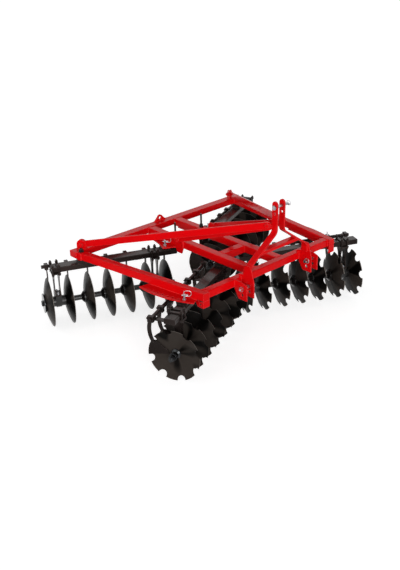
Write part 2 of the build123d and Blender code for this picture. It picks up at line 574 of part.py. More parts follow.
def corner_plate():
    """The plate on the right side beam's outer face that butts against the end of the rear beam."""
    back, front = REAR_BEAM_FRONT, CORNER_PLATE_LENGTH - FRAME_LENGTH
    outline = [(side_face_x(y) + shift, y) for y, shift in ((back, 0), (front, 0), (front, CORNER_PLATE_THICKNESS),
                                                            (back, CORNER_PLATE_THICKNESS))]
    return level_plate(outline, FRAME_BOTTOM, TUBE_HEIGHT)


def hold_down_bolt():
    """The threaded rod that stands on the right centre beam near the rear gang's inner end, with its nut."""
    foot = (CENTRE_BEAM_X, HOLD_DOWN_Y, FRAME_TOP)
    rod = round_bar(HOLD_DOWN_RADIUS, foot, (CENTRE_BEAM_X, HOLD_DOWN_Y, FRAME_TOP + HOLD_DOWN_RISE))
    nut = Plane(origin=foot) * RegularPolygon(HOLD_DOWN_NUT / 2, 6, major_radius=False)
    return rod + extrude(nut, amount=HOLD_DOWN_NUT_HEIGHT)


def lock_pin(x, y):
    """A locking pin standing in its hole, with its collar on the plate and its lower end lifted clear."""
    pin = round_bar(LOCK_PIN_RADIUS, (x, y, PLATE_BOTTOM), (x, y, FRAME_BOTTOM + LOCK_PIN_RISE))
    return pin + round_bar(LOCK_PIN_RADIUS + COLLAR_WIDTH, (x, y, FRAME_BOTTOM), (x, y, FRAME_BOTTOM + COLLAR_HEIGHT))


def pivot_pin(x, y):
    """The bolt on which a gang beam turns, hanging from the frame through the beam."""
    return round_bar(PIVOT_PIN_RADIUS, (x, y, GANG_TUBE_BOTTOM - PIVOT_PIN_REACH), (x, y, FRAME_BOTTOM))


def mast_upright():
    """The right mast upright: a flat bar, straight at the top and bent outward to the hitch plate."""
    top = MAST_TOP - MAST_BAR_WIDTH / 2
    line = FilletPolyline((MAST_TOP_X, MAST_Y, top), (MAST_TOP_X, MAST_Y, MAST_BEND_Z),
                          (MAST_FOOT_X, MAST_Y, MAST_FOOT_Z),
                          (MAST_FOOT_X, MAST_Y, MAST_FOOT_Z - MAST_FOOT_LENGTH), radius=MAST_BEND_RADIUS)
    start = Plane(origin=(MAST_TOP_X, MAST_Y, top), x_dir=(1, 0, 0), z_dir=(0, 0, -1))
    bar = sweep(start * Rectangle(MAST_BAR_THICKNESS, MAST_BAR_WIDTH), path=line)
    bar += round_bar(MAST_BAR_WIDTH / 2, (MAST_HALF_GAP, MAST_Y, top), (MAST_FACE, MAST_Y, top))
    for z in (TOP_LINK_Z, TOP_LINK_SPARE_Z):
        bar -= round_bar(TOP_LINK_HOLE_RADIUS, (0, MAST_Y, z), (2 * MAST_FACE, MAST_Y, z))
    return bar


def mast_tie():
    """The level flat bar between the mast uprights, its ends mitred to their slope."""
    slope = (MAST_FOOT_X - MAST_TOP_X) / (MAST_BEND_Z - MAST_FOOT_Z)
    low = MAST_TIE_TOP - MAST_TIE_HEIGHT
    corners = [(MAST_TOP_X + slope * (MAST_BEND_Z - z), z) for z in (MAST_TIE_TOP, low)]
    outline = make_face(Plane.XZ * Polyline(*[(-x, z) for x, z in corners], *reversed(corners), close=True))
    bar = Pos(0, MAST_Y, 0) * extrude(outline, amount=MAST_BAR_WIDTH / 2, both=True)
    for upright in both_sides(mast_upright()):
        bar -= upright
    return bar


def hitch_plate(x, tall):
    """A clevis plate on the front beam, its left face at x; the tall one also carries the mast."""
    back = HITCH_PIN_Y - 42
    outline = [(0.0, FRAME_TOP - TUBE_CORNER), (0.0, FRAME_BOTTOM - 14), (back, HITCH_BOTTOM_Z),
               (HITCH_FRONT_Y, HITCH_BOTTOM_Z), (HITCH_FRONT_Y, FRAME_TOP - 18)]
    if tall:
        top = MAST_FOOT_Z + 8
        outline += [(MAST_Y + 42, top - 26), (MAST_Y + 26, top), (MAST_Y - 26, top), (MAST_Y - 42, top - 26),
                    (MAST_Y - 52, FRAME_TOP + 30), (-TUBE_WIDTH / 2, FRAME_TOP + 14), (-TUBE_WIDTH / 2, FRAME_TOP),
                    (0.0, FRAME_TOP)]
    else:
        outline += [(back + 30, FRAME_TOP + 2), (0.0, FRAME_TOP + 2)]
    plate = upright_plate(outline, x, HITCH_PLATE_THICKNESS)
    for z in (HITCH_PIN_Z, HITCH_SPARE_Z):
        plate -= round_bar(HITCH_HOLE_RADIUS, (x, HITCH_PIN_Y, z), (x + HITCH_PLATE_THICKNESS, HITCH_PIN_Y, z))
    return plate


def hitch_pin():
    """The right lower-link pin across its clevis, with its head on the outer plate."""
    face = HITCH_OUTER_X + HITCH_PLATE_THICKNESS
    tail = HITCH_INNER_X - HITCH_PLATE_THICKNESS - PIN_TAIL
    pin = round_bar(HITCH_PIN_RADIUS, (tail, HITCH_PIN_Y, HITCH_PIN_Z), (face, HITCH_PIN_Y, HITCH_PIN_Z))
    return pin + round_bar(HITCH_PIN_RADIUS + PIN_HEAD_WIDTH, (face, HITCH_PIN_Y, HITCH_PIN_Z),
                           (face + PIN_HEAD_LENGTH, HITCH_PIN_Y, HITCH_PIN_Z))


def top_link_pin():
    """The pin through the top of the mast, its head on the right and its stepped end on the left."""
    neck = -MAST_FACE - TOP_LINK_TAIL
    pin = round_bar(TOP_LINK_PIN_RADIUS, (neck, MAST_Y, TOP_LINK_Z), (MAST_FACE, MAST_Y, TOP_LINK_Z))
    pin += round_bar(TOP_LINK_NECK_RADIUS, (neck - TOP_LINK_NECK, MAST_Y, TOP_LINK_Z), (neck, MAST_Y, TOP_LINK_Z))
    return pin + round_bar(TOP_LINK_PIN_RADIUS + PIN_HEAD_WIDTH, (MAST_FACE, MAST_Y, TOP_LINK_Z),
                           (MAST_FACE + PIN_HEAD_LENGTH, MAST_Y, TOP_LINK_Z))


def brace(start, end):
    """A flat bar on edge between the centres of its two rounded ends."""
    run = Vector(*end) - Vector(*start)
    level = Vector(run.X, run.Y, 0).normalized()
    plane = Plane(origin=start, x_dir=run.normalized(), z_dir=Vector(0, 0, 1).cross(level))
    outline = Pos(run.length / 2, 0) * SlotCenterToCenter(run.length, BRACE_DEPTH)
    return extrude(plane * outline, amount=BRACE_THICKNESS / 2, both=True)


def brace_bracket():
    """Two rounded ears on the rear beam that hold the outer brace's rear end."""
    run = Vector(OUTER_BRACE_MAST[0] - OUTER_BRACE_X, OUTER_BRACE_MAST[1] - REAR_BEAM_Y, 0).normalized()
    side = Vector(0, 0, 1).cross(run)
    rise = OUTER_BRACE_Z - FRAME_TOP
    ears = []
    for shift in (-BRACE_THICKNESS / 2 - HITCH_PLATE_THICKNESS, BRACE_THICKNESS / 2):
        origin = Vector(OUTER_BRACE_X, REAR_BEAM_Y, FRAME_TOP) + side * shift
        outline = Pos(0, rise / 2) * Rectangle(2 * BRACE_EAR_RADIUS, rise) + Pos(0, rise) * Circle(BRACE_EAR_RADIUS)
        keep = Pos(0, BRACE_DEPTH) * Rectangle(3 * BRACE_DEPTH, 2 * BRACE_DEPTH)
        ears.append(extrude(Plane(origin=origin, x_dir=run, z_dir=side * -1) * (outline & keep),
                            amount=-HITCH_PLATE_THICKNESS))
    return ears


def inner_brace():
    """The right inner brace, from its boss beside the centre beam up to the mast."""
    return brace((CENTRE_BEAM_OUTER + BRACE_THICKNESS + INNER_BRACE_STANDOFF, INNER_BRACE_Y, INNER_BRACE_Z),
                 INNER_BRACE_MAST)


def inner_brace_bracket():
    """The upright plate on the centre beam's outer face that holds the inner brace's foot on a boss."""
    y, top = INNER_BRACE_Y, INNER_BRACE_Z + BRACE_DEPTH / 2 + 4
    outline = [(y - 52, FRAME_BOTTOM), (y - 52, top - 24), (y - 30, top), (y + 34, top), (y + 54, top - 24),
               (y + 54, FRAME_BOTTOM), (y + 36, FRAME_BOTTOM - 50), (y - 26, FRAME_BOTTOM - 50)]
    face = CENTRE_BEAM_OUTER + BRACE_THICKNESS
    boss = round_bar(BRACE_BOSS_RADIUS, (face, y, INNER_BRACE_Z), (face + INNER_BRACE_STANDOFF, y, INNER_BRACE_Z))
    return upright_plate(outline, CENTRE_BEAM_OUTER, BRACE_THICKNESS) + (boss - inner_brace())


def rear_lug():
    """The eye plate that stands on the rear edge of the rear beam."""
    rise = REAR_LUG_HOLE_Z - FRAME_TOP
    plane = Plane(origin=(0, -FRAME_LENGTH + REAR_LUG_INSET, FRAME_TOP), x_dir=(1, 0, 0), z_dir=(0, -1, 0))
    eye = 2 * REAR_LUG_HOLE_RADIUS
    base = make_face(Polyline((-75, 0), (75, 0), (eye - 4, rise + 14), (4 - eye, rise + 14), close=True))
    outline = (base + Pos(0, rise) * Circle(eye)) & (Pos(0, 100) * Rectangle(200, 200))
    return extrude(plane * (outline - Pos(0, rise) * Circle(REAR_LUG_HOLE_RADIUS)), amount=REAR_LUG_THICKNESS / 2, both=True)


# ---------------------------------------------------------------- assembly
FRONT_PADS = ((0.0, FRAME_BOTTOM), (FRONT_LOCK_RADIUS, PLATE_BOTTOM))
REAR_PADS = ((0.0, FRAME_BOTTOM), (-REAR_LOCK_RADIUS, PLATE_BOTTOM))

GangRow = namedtuple("GangRow", "name angle pivot outer_hub hollow notched reach pads setback bulge outer_stay")
GANGS = (
    GangRow("front", FRONT_ANGLE, FRONT_PIVOT, FRONT_OUTER_HUB, 1, True,
            (TUBE_INNER_REACH_FRONT, TUBE_OUTER_REACH_FRONT), FRONT_PADS,
            FRONT_BAR_SETBACK, FRONT_ARM_BULGE, FRONT_OUTER_STAY),
    GangRow("rear", -REAR_ANGLE, REAR_PIVOT, REAR_OUTER_HUB, -1, False,
            (TUBE_INNER_REACH_REAR, TUBE_OUTER_REACH_REAR), REAR_PADS,
            REAR_BAR_SETBACK, REAR_ARM_BULGE, REAR_OUTER_STAY),
)

parts = {}
for row in GANGS:
    right = gang(*row[1:])
    for piece, solids in right.items():
        parts[f"{row.name}_right_{piece}"] = solids
        parts[f"{row.name}_left_{piece}"] = [mirror(s, about=Plane.YZ) for s in solids]

front_lock = lock_holes(FRONT_PIVOT, FRONT_LOCK_RADIUS, FRONT_ANGLE, 1, 1)[0]
rear_lock = lock_holes(REAR_PIVOT, REAR_LOCK_RADIUS, REAR_ANGLE, 1, -1)[0]

parts["side_beams"] = both_sides(side_beam())
parts["front_beam"] = [front_beam()]
parts["rear_beam"] = [cross_tube(REAR_HALF_WIDTH, -FRAME_LENGTH, REAR_BEAM_WIDTH, REAR_BEAM_HEIGHT)]
parts["centre_beams"] = both_sides(centre_beam())
parts["cross_beam"] = [cross_tube(CENTRE_BEAM_INNER, CROSS_BEAM_FRONT - CROSS_BEAM_WIDTH, CROSS_BEAM_WIDTH,
                                  TUBE_HEIGHT)]
parts["front_adjusting_plates"] = both_sides(front_plate() - corner_bracket())
parts["rear_adjusting_plates"] = both_sides(rear_plate() - inner_brace_bracket())
parts["corner_brackets"] = both_sides(corner_bracket())
parts["corner_plates"] = both_sides(corner_plate())
parts["hold_down_bolts"] = both_sides(hold_down_bolt())
parts["locking_pins"] = both_sides(lock_pin(*front_lock), lock_pin(*rear_lock))
parts["pivot_pins"] = both_sides(pivot_pin(*FRONT_PIVOT), pivot_pin(*REAR_PIVOT))
parts["mast_uprights"] = both_sides(mast_upright())
parts["mast_tie"] = [mast_tie()]
parts["top_link_pin"] = [top_link_pin()]
parts["hitch_plates"] = both_sides(hitch_plate(HITCH_INNER_X - HITCH_PLATE_THICKNESS, True),
                                   hitch_plate(HITCH_OUTER_X, False))
parts["hitch_pins"] = both_sides(hitch_pin())
parts["outer_braces"] = both_sides(brace((OUTER_BRACE_X, REAR_BEAM_Y, OUTER_BRACE_Z), OUTER_BRACE_MAST))
parts["inner_braces"] = both_sides(inner_brace())
parts["brace_brackets"] = both_sides(*brace_bracket())
parts["inner_brace_brackets"] = both_sides(inner_brace_bracket())
parts["rear_lug"] = [rear_lug()]

boxes = [s.bounding_box() for solids in parts.values() for s in solids]
front_end, rear_end = max(b.max.Y for b in boxes), min(b.min.Y for b in boxes)
ground = min(b.min.Z for b in boxes)
shift = Pos(0, -(front_end + rear_end) / 2, -ground)
os.makedirs("parts", exist_ok=True)
for name, solids in parts.items():
    moved = [shift * s for s in solids]
    export_step(moved[0] if len(moved) == 1 else Compound(children=moved), f"parts/{name}.step")
print("moved by", round(-(front_end + rear_end) / 2, 3), round(-ground, 3),
      "half width", round(max(b.max.X for b in boxes), 1), "height", round(max(b.max.Z for b in boxes), 1),
      "length", round(front_end - rear_end, 1))
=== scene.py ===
"""Looks of a carried X-type disc harrow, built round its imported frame.

All lengths are metres in the machine's own axes: X to its right, Y forward, Z up, and the ground at Z = 0.
"""

import json
import logging
import math
from collections.abc import Sequence
from dataclasses import dataclass, field
from enum import Enum
from functools import cached_property

import bmesh
import bpy
import numpy as np
from mathutils import Matrix, Vector


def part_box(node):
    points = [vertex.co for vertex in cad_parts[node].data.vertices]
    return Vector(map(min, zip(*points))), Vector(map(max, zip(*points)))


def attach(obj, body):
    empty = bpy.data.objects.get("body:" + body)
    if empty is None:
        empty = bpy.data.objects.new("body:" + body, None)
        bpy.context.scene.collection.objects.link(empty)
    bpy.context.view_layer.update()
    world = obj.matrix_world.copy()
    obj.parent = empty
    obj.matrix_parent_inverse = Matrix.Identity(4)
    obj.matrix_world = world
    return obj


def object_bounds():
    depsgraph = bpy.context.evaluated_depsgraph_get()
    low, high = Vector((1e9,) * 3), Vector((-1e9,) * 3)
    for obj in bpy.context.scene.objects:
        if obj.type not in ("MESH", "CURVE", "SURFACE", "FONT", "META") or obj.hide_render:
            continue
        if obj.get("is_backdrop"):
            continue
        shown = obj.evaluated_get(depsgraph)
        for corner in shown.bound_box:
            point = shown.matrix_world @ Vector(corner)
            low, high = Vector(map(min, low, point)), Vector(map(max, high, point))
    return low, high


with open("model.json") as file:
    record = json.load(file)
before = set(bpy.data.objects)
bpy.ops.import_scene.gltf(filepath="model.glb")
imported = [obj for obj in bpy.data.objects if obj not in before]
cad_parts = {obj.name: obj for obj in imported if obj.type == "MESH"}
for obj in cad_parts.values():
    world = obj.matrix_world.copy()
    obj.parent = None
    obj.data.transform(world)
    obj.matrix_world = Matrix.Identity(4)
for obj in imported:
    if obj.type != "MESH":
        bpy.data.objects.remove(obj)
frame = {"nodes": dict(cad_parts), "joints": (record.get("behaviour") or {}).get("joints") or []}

log = logging.getLogger("harrow")

Array = np.ndarray
Socket = bpy.types.NodeSocket
Colour = tuple[float, float, float, float]
Triple = tuple[float, float, float]
Profile = Sequence[tuple[float, float]]

UP: Triple = (0.0, 0.0, 1.0)
DOWN: Triple = (0.0, 0.0, -1.0)
RIGHT: Triple = (1.0, 0.0, 0.0)
AHEAD: Triple = (0.0, 1.0, 0.0)
BACK: Triple = (0.0, -1.0, 0.0)
FULL_TURN = 2.0 * math.pi
SLANT = np.array((0.38, 0.57, 0.73))  # no path or bolt here points this way; sideways is worked out from it
THREAD_DEPTH = 0.6  # of the pitch
THREAD_CHAMFER = 0.8  # of the pitch
CREASE = 40.0
WELD_CREASE = 70.0
MERGE_DISTANCE = 2e-6
BEVEL_SAMPLES = 6
EDGE_LIKENESS = (0.985, 0.80)  # cosines between a face and its broken edge, where an edge starts and is full


class Slot(Enum):
    """The record's material slots."""

    RED_PAINT = "red_paint"
    BLACK_PAINT = "black_paint"
    DISC_STEEL = "disc_steel"
    CAST_BLACK = "cast_black"
    ZINC = "zinc"


class Wing(Enum):
    """The four gangs, by the names that their joints and bodies start with."""

    FRONT_RIGHT = "front_right"
    FRONT_LEFT = "front_left"
    REAR_RIGHT = "rear_right"
    REAR_LEFT = "rear_left"

    @property
    def is_left(self) -> bool:
        """Whether this gang is a mirror image of the right-hand one."""
        return self.value.endswith("left")

    @property
    def is_front(self) -> bool:
        """Whether this gang is one of the front pair."""
        return self.value.startswith("front")


# ---------------------------------------------------------------- surfaces as grids
@dataclass(frozen=True)
class Shell:
    """A closed skin: its points, and its faces as rows of four corner numbers."""

    points: Array
    faces: Array

    def moved(self, shift: Sequence[float]) -> "Shell":
        """This skin shifted."""
        return Shell(self.points + np.asarray(shift), self.faces)

    def placed(self, turn: Array, shift: Sequence[float]) -> "Shell":
        """This skin turned by a 3 by 3 matrix, then shifted."""
        return Shell(self.points @ np.asarray(turn).T + np.asarray(shift), self.faces)

    def mirrored(self) -> "Shell":
        """Its mirror image across the machine's middle, wound the other way so that it still faces out."""
        return Shell(self.points * (-1.0, 1.0, 1.0), self.faces[:, ::-1])

    def copies(self, turns: Array, shifts: Array) -> "Shell":
        """Many placed copies as one skin.

        Args:
            turns: one 3 by 3 matrix for each copy.
            shifts: one point for each copy.

        Returns:
            The copies, each turned about its own origin and then moved to its point.
        """
        points = np.einsum("kij,nj->kni", turns, self.points) + shifts[:, None, :]
        steps = np.arange(len(shifts))[:, None, None] * len(self.points)
        return Shell(points.reshape(-1, 3), (self.faces[None] + steps).reshape(-1, 4))


def joined(shells: Sequence[Shell]) -> Shell:
    """Several skins as one.

    Args:
        shells: the skins.

    Returns:
        One skin in which each keeps its own points.
    """
    starts = np.cumsum([0] + [len(s.points) for s in shells[:-1]])
    faces = [s.faces + start for s, start in zip(shells, starts)]
    return Shell(np.concatenate([s.points for s in shells]), np.concatenate(faces))


def both_sides(shell: Shell) -> Shell:
    """A skin together with its mirror image on the machine's other side."""
    return joined([shell, shell.mirrored()])


def unit(vector: Sequence[float]) -> Array:
    """The direction of a vector, as a vector of length 1."""
    return np.asarray(vector, float) / np.linalg.norm(vector)


def angles(count: int) -> Array:
    """Evenly spaced angles once round."""
    return np.linspace(0.0, FULL_TURN, count, endpoint=False)


def lattice(xs: Sequence[float], ys: Sequence[float], zs: Sequence[float]) -> Array:
    """Every combination of the given places along, across and up, as rows."""
    return np.stack(np.meshgrid(xs, ys, zs, indexing="ij"), -1).reshape(-1, 3)


def sideways(directions: Array) -> Array:
    """For each unit direction, the unit direction square to it and to the slanting one."""
    side = np.cross(SLANT, directions)
    return side / np.linalg.norm(side, axis=1, keepdims=True)


def aimed(axes: Array) -> Array:
    """Turns that carry Z to each of the given directions.

    Args:
        axes: one direction for each turn.

    Returns:
        One 3 by 3 matrix for each, whose columns are side, rise and the direction itself.
    """
    axes = np.atleast_2d(np.asarray(axes, float))
    axes = axes / np.linalg.norm(axes, axis=1, keepdims=True)
    side = sideways(axes)
    return np.stack((side, np.cross(axes, side), axes), -1)


def upright_turn(axis: Sequence[float]) -> Array:
    """A turn that carries Z to a level direction and keeps one flat of a nut level.

    Args:
        axis: the level direction.

    Returns:
        The 3 by 3 matrix, which carries X straight up.
    """
    out = unit(axis)
    side = np.cross(UP, out)
    return np.stack((np.array(UP), -side, out), -1)


def grid_faces(rows: int, columns: int, looped: bool = False) -> Array:
    """Faces of a grid whose columns run round and meet again.

    Args:
        rows: how many rings the grid has.
        columns: how many points each ring has.
        looped: whether the last ring joins the first one too.

    Returns:
        One row of four corner numbers for each face.
    """
    steps = np.arange(rows if looped else rows - 1)
    row, column = np.meshgrid(steps, np.arange(columns), indexing="ij")
    above, after = (row + 1) % rows, (column + 1) % columns
    near, far = row * columns, above * columns
    return np.stack((near + column, near + after, far + after, far + column), -1).reshape(-1, 4)


def turned(profile: Profile, around: int = 24, flats: int = 0, apothem: float = 0.0) -> Shell:
    """A surface turned about the Z axis, with flats milled on it if asked.

    Each point is (r cos t, r sin t, h). h and r follow the profile, t runs once round, and with flats r is
    never more than apothem / cos(angle from the middle of the nearest flat), which leaves true chamfers.

    Args:
        profile: pairs of height and radius, from the lower pole to the upper one.
        around: how many points a ring has.
        flats: how many flats are milled, 0 for none.
        apothem: distance of each flat from the axis.

    Returns:
        The closed skin.
    """
    heights, radii = np.asarray(profile, float).T
    angle = angles(around)
    radius = np.repeat(radii[:, None], around, axis=1)
    if flats:
        step = FULL_TURN / flats
        radius = np.minimum(radius, apothem / np.cos((angle + step / 2.0) % step - step / 2.0))
    height = np.repeat(heights[:, None], around, axis=1)
    grid = np.stack((radius * np.cos(angle), radius * np.sin(angle), height), -1)
    return Shell(grid.reshape(-1, 3), grid_faces(len(heights), around))


def threaded(radius: float, length: float, pitch: float, around: int = 14) -> Shell:
    """A threaded stud along Z, with chamfered ends.

    The radius falls from full by THREAD_DEPTH pitches times a triangle wave of (height / pitch - angle / one
    turn), and near each end it is never more than the chamfer's cone.

    Args:
        radius: outer radius.
        length: length from its foot at Z = 0.
        pitch: rise of one turn.
        around: how many points a ring has.

    Returns:
        The closed skin.
    """
    height = np.linspace(0.0, length, max(6, int(4 * length / pitch)))
    angle = angles(around)
    phase = height[:, None] / pitch - angle[None, :] / FULL_TURN
    depth = THREAD_DEPTH * pitch * np.abs(2.0 * (phase % 1.0) - 1.0)
    cone = radius - THREAD_CHAMFER * pitch + np.minimum(height, length - height)[:, None]
    pole = np.zeros((1, around))
    ring = np.concatenate((pole, np.minimum(radius - depth, cone), pole))
    height = np.concatenate((height[:1], height, height[-1:]))[:, None]
    grid = np.stack((ring * np.cos(angle), ring * np.sin(angle), np.repeat(height, around, 1)), -1)
    return Shell(grid.reshape(-1, 3), grid_faces(len(ring), around))


def even_steps(corners: Array, step: float) -> Array:
    """Points a steady step apart along a line, by linear interpolation.

    Args:
        corners: the line's corners.
        step: about how far apart the points are.

    Returns:
        The points, from the first corner to the last, three at least.
    """
    corners = np.asarray(corners, float)
    reach = np.concatenate(([0.0], np.cumsum(np.linalg.norm(np.diff(corners, axis=0), axis=1))))
    at = np.linspace(0.0, reach[-1], max(3, int(reach[-1] / step) + 1))
    return np.stack([np.interp(at, reach, column) for column in corners.T], -1)


def carried(path: Array, radius: Array | float, around: int = 8, looped: bool = False) -> Shell:
    """A round section carried along a path.

    Each point is path(s) + r(s, a) (cos a · side + sin a · rise), where side and rise are square to the
    path's direction and side is square to the slanting direction too.

    Args:
        path: points along the middle.
        radius: the section's radius, one for all or one for each path point and each angle.
        around: how many points the section has.
        looped: whether the path ends where it starts.

    Returns:
        The closed skin, its ends drawn in to the path's end points unless it is looped.
    """
    run = np.roll(path, -1, 0) - np.roll(path, 1, 0) if looped else np.gradient(path, axis=0)
    run = run / np.linalg.norm(run, axis=1, keepdims=True)
    side = sideways(run)
    rise = np.cross(run, side)
    angle = angles(around)
    radius = np.broadcast_to(radius, (len(path), around))
    ring = np.cos(angle)[None, :, None] * side[:, None] + np.sin(angle)[None, :, None] * rise[:, None]
    grid = path[:, None] + radius[..., None] * ring
    if not looped:
        ends = np.repeat(path[[0, -1]][:, None], around, 1)
        grid = np.concatenate((ends[:1], grid, ends[1:]))
    return Shell(grid.reshape(-1, 3), grid_faces(len(grid), around, looped))


# ---------------------------------------------------------------- fasteners and welds
@dataclass(frozen=True)
class HexFixing:
    """A hexagon head or nut with its washer, standing on a face along Z, and the thread that shows.

    Sizes are the width across the flats, the hexagon's height, the washer's radius, and the thread's radius
    and rise over the nut. The washer's thickness, the chamfers and the pitch are shares of those.
    """

    across: float
    height: float
    washer: float
    stud: float = 0.0
    rise: float = 0.0
    around: int = 12
    washer_share: float = 0.12
    washer_edge: float = 0.0006
    foot_share: float = 0.07
    shoulder_share: float = 0.86
    foot_radius_share: float = 0.485
    crown_radius_share: float = 0.455
    pitch_share: float = 0.20
    sunk: float = 0.004

    def shell(self) -> Shell:
        """The fixing on its own axis.

        Returns:
            Washer, chamfered hexagon and stud as one skin.
        """
        thick, edge = self.washer_share * self.across, self.washer_edge
        foot, shoulder = thick + self.foot_share * self.height, thick + self.shoulder_share * self.height
        top = thick + self.height
        apothem = self.across / 2.0
        corner = apothem / math.cos(math.pi / 6.0)
        washer = turned([(0, 0), (0, self.washer - edge), (edge, self.washer), (thick - edge, self.washer),
                         (thick, self.washer - edge), (thick, 0)], 2 * self.around)
        hexagon = turned([(thick, 0), (thick, self.foot_radius_share * self.across), (foot, corner),
                          (shoulder, corner), (top, self.crown_radius_share * self.across), (top, 0)],
                         self.around, 6, apothem)
        if not self.rise:
            return joined([washer, hexagon])
        stud = threaded(self.stud, self.rise + self.sunk, self.pitch_share * self.stud, self.around)
        return joined([washer, hexagon, stud.moved((0.0, 0.0, top - self.sunk))])

    def standing(self, points: Array, axes: Sequence[float] | Array) -> Shell:
        """Copies of this fixing.

        Args:
            points: where each one's washer sits.
            axes: the direction that each one stands in, or one direction for all.

        Returns:
            All copies as one skin.
        """
        points = np.atleast_2d(np.asarray(points, float))
        axes = np.broadcast_to(np.atleast_2d(np.asarray(axes, float)), points.shape)
        return self.shell().copies(aimed(axes), points)


@dataclass(frozen=True)
class Weld:
    """A stacked weld bead: a row of overlapping ripples, whose size swells slowly along the seam."""

    radius: float
    pitch: float
    ripple: float = 0.15
    lean: float = 0.9
    swell: float = 0.06
    swell_run: float = 11.0
    around: int = 8
    steps_per_ripple: int = 4

    def along(self, corners: Array) -> Shell:
        """One bead along a line of corners.

        Its radius is the bead's own times 1 + ripple · cos(one turn a pitch, leaning with the angle) +
        swell · sin(one turn every swell_run pitches).

        Args:
            corners: the line's corners.

        Returns:
            The closed skin.
        """
        path = even_steps(corners, self.pitch / self.steps_per_ripple)
        reach = np.linspace(0.0, 1.0, len(path)) * len(path) / self.steps_per_ripple
        lean = self.lean * np.sin(angles(self.around))[None, :]
        ripple = self.ripple * np.cos(FULL_TURN * reach[:, None] + lean)
        swell = self.swell * np.sin(FULL_TURN * reach / self.swell_run)[:, None]
        return carried(path, self.radius * (1.0 + ripple + swell), self.around)

    def seams(self, lines: Sequence[Array]) -> Shell:
        """Beads along several lines as one skin."""
        return joined([self.along(line) for line in lines])


@dataclass(frozen=True)
class LinchPin:
    """A linch pin: a short round pin with a sprung D ring through its head."""

    pin_radius: float
    pin_length: float
    wire: float
    width: float
    height: float
    tail_share: float = 0.42
    head_radius: float = 0.0078
    head_length: float = 0.012
    ring_power: float = 2.6
    ring_drop: float = 0.010
    ring_steps: int = 48

    def shell(self, at: Array, lean: Triple) -> Shell:
        """The pin through a level cross hole, with its ring standing over it.

        The ring's middle line is |u|^p + |v|^p = 1 in half widths u and half heights v, p being ring_power.

        Args:
            at: the middle of the cross hole.
            lean: the level direction in which the pin points out and the ring lies.

        Returns:
            The closed skins.
        """
        out, up = unit(lean), np.array(UP)
        tail = at - out * self.tail_share * self.pin_length
        tip = at + out * (1.0 - self.tail_share) * self.pin_length
        pin = carried(even_steps((tail, tip), self.pin_length / 8.0), self.pin_radius, 12)
        path = even_steps((tip - out * self.head_length, tip), self.head_length / 4.0)
        head = carried(path, self.head_radius, 12)
        angle = angles(self.ring_steps)
        power = 2.0 / self.ring_power
        u = np.sign(np.cos(angle)) * np.abs(np.cos(angle)) ** power
        v = np.sign(np.sin(angle)) * np.abs(np.sin(angle)) ** power
        middle = at + out * self.tail_share * self.width + up * (self.height / 2.0 - self.ring_drop)
        ring = middle + u[:, None] * out * self.width / 2.0 + v[:, None] * up * self.height / 2.0
        return joined([pin, head, carried(ring, self.wire, looped=True)])


CLAMP_NUT = HexFixing(0.024, 0.013, 0.0145, 0.008, 0.010)
CLAMP_HEAD = HexFixing(0.024, 0.010, 0.0135)
BEARING_NUT = HexFixing(0.019, 0.012, 0.0125, 0.006, 0.006)
BEARING_SCREW = HexFixing(0.010, 0.006, 0.0062, around=6)
BLOCK_NUT = HexFixing(0.017, 0.009, 0.0105, 0.005, 0.005)
BLADE_NUT = HexFixing(0.013, 0.007, 0.0085, 0.004, 0.004)
BRACE_NUT = HexFixing(0.036, 0.015, 0.022, 0.012, 0.009, 24)
BRACE_HEAD = HexFixing(0.036, 0.015, 0.022, around=24)
PIVOT_HEAD = HexFixing(0.041, 0.017, 0.026, 0.013, 0.010, 24)
ROD_LOCKNUT = HexFixing(0.030, 0.012, 0.012, around=24)

GANG_WELD = Weld(0.0032, 0.005)
BEAM_WELD = Weld(0.0042, 0.0065)
LUG_WELD = Weld(0.004, 0.006)

LOCK_LINCH = LinchPin(0.0048, 0.052, 0.0026, 0.062, 0.050)
HITCH_LINCH = LinchPin(0.004, 0.046, 0.0024, 0.044, 0.040)
TOP_LINCH = LinchPin(0.004, 0.040, 0.0024, 0.042, 0.038)

# Turned outlines, as pairs of height and radius.
NIPPLE_PROFILE = ((0, 0), (0, 0.0055), (0.005, 0.0055), (0.005, 0.0032), (0.009, 0.0028), (0.0105, 0.0036),
                  (0.0125, 0.0036), (0.0145, 0.0020), (0.015, 0))
BOLT_HEAD_PROFILE = ((0, 0), (0, 0.026), (0.003, 0.030), (0.014, 0.030), (0.018, 0.023), (0.018, 0))
PIN_STEP_PROFILE = ((0, 0), (0, 0.0085), (0.017, 0.0085), (0.020, 0.0060), (0.020, 0))
PIN_BOSS_PROFILE = ((0, 0), (0, 0.021), (0.011, 0.019), (0.013, 0.016), (0.013, 0))


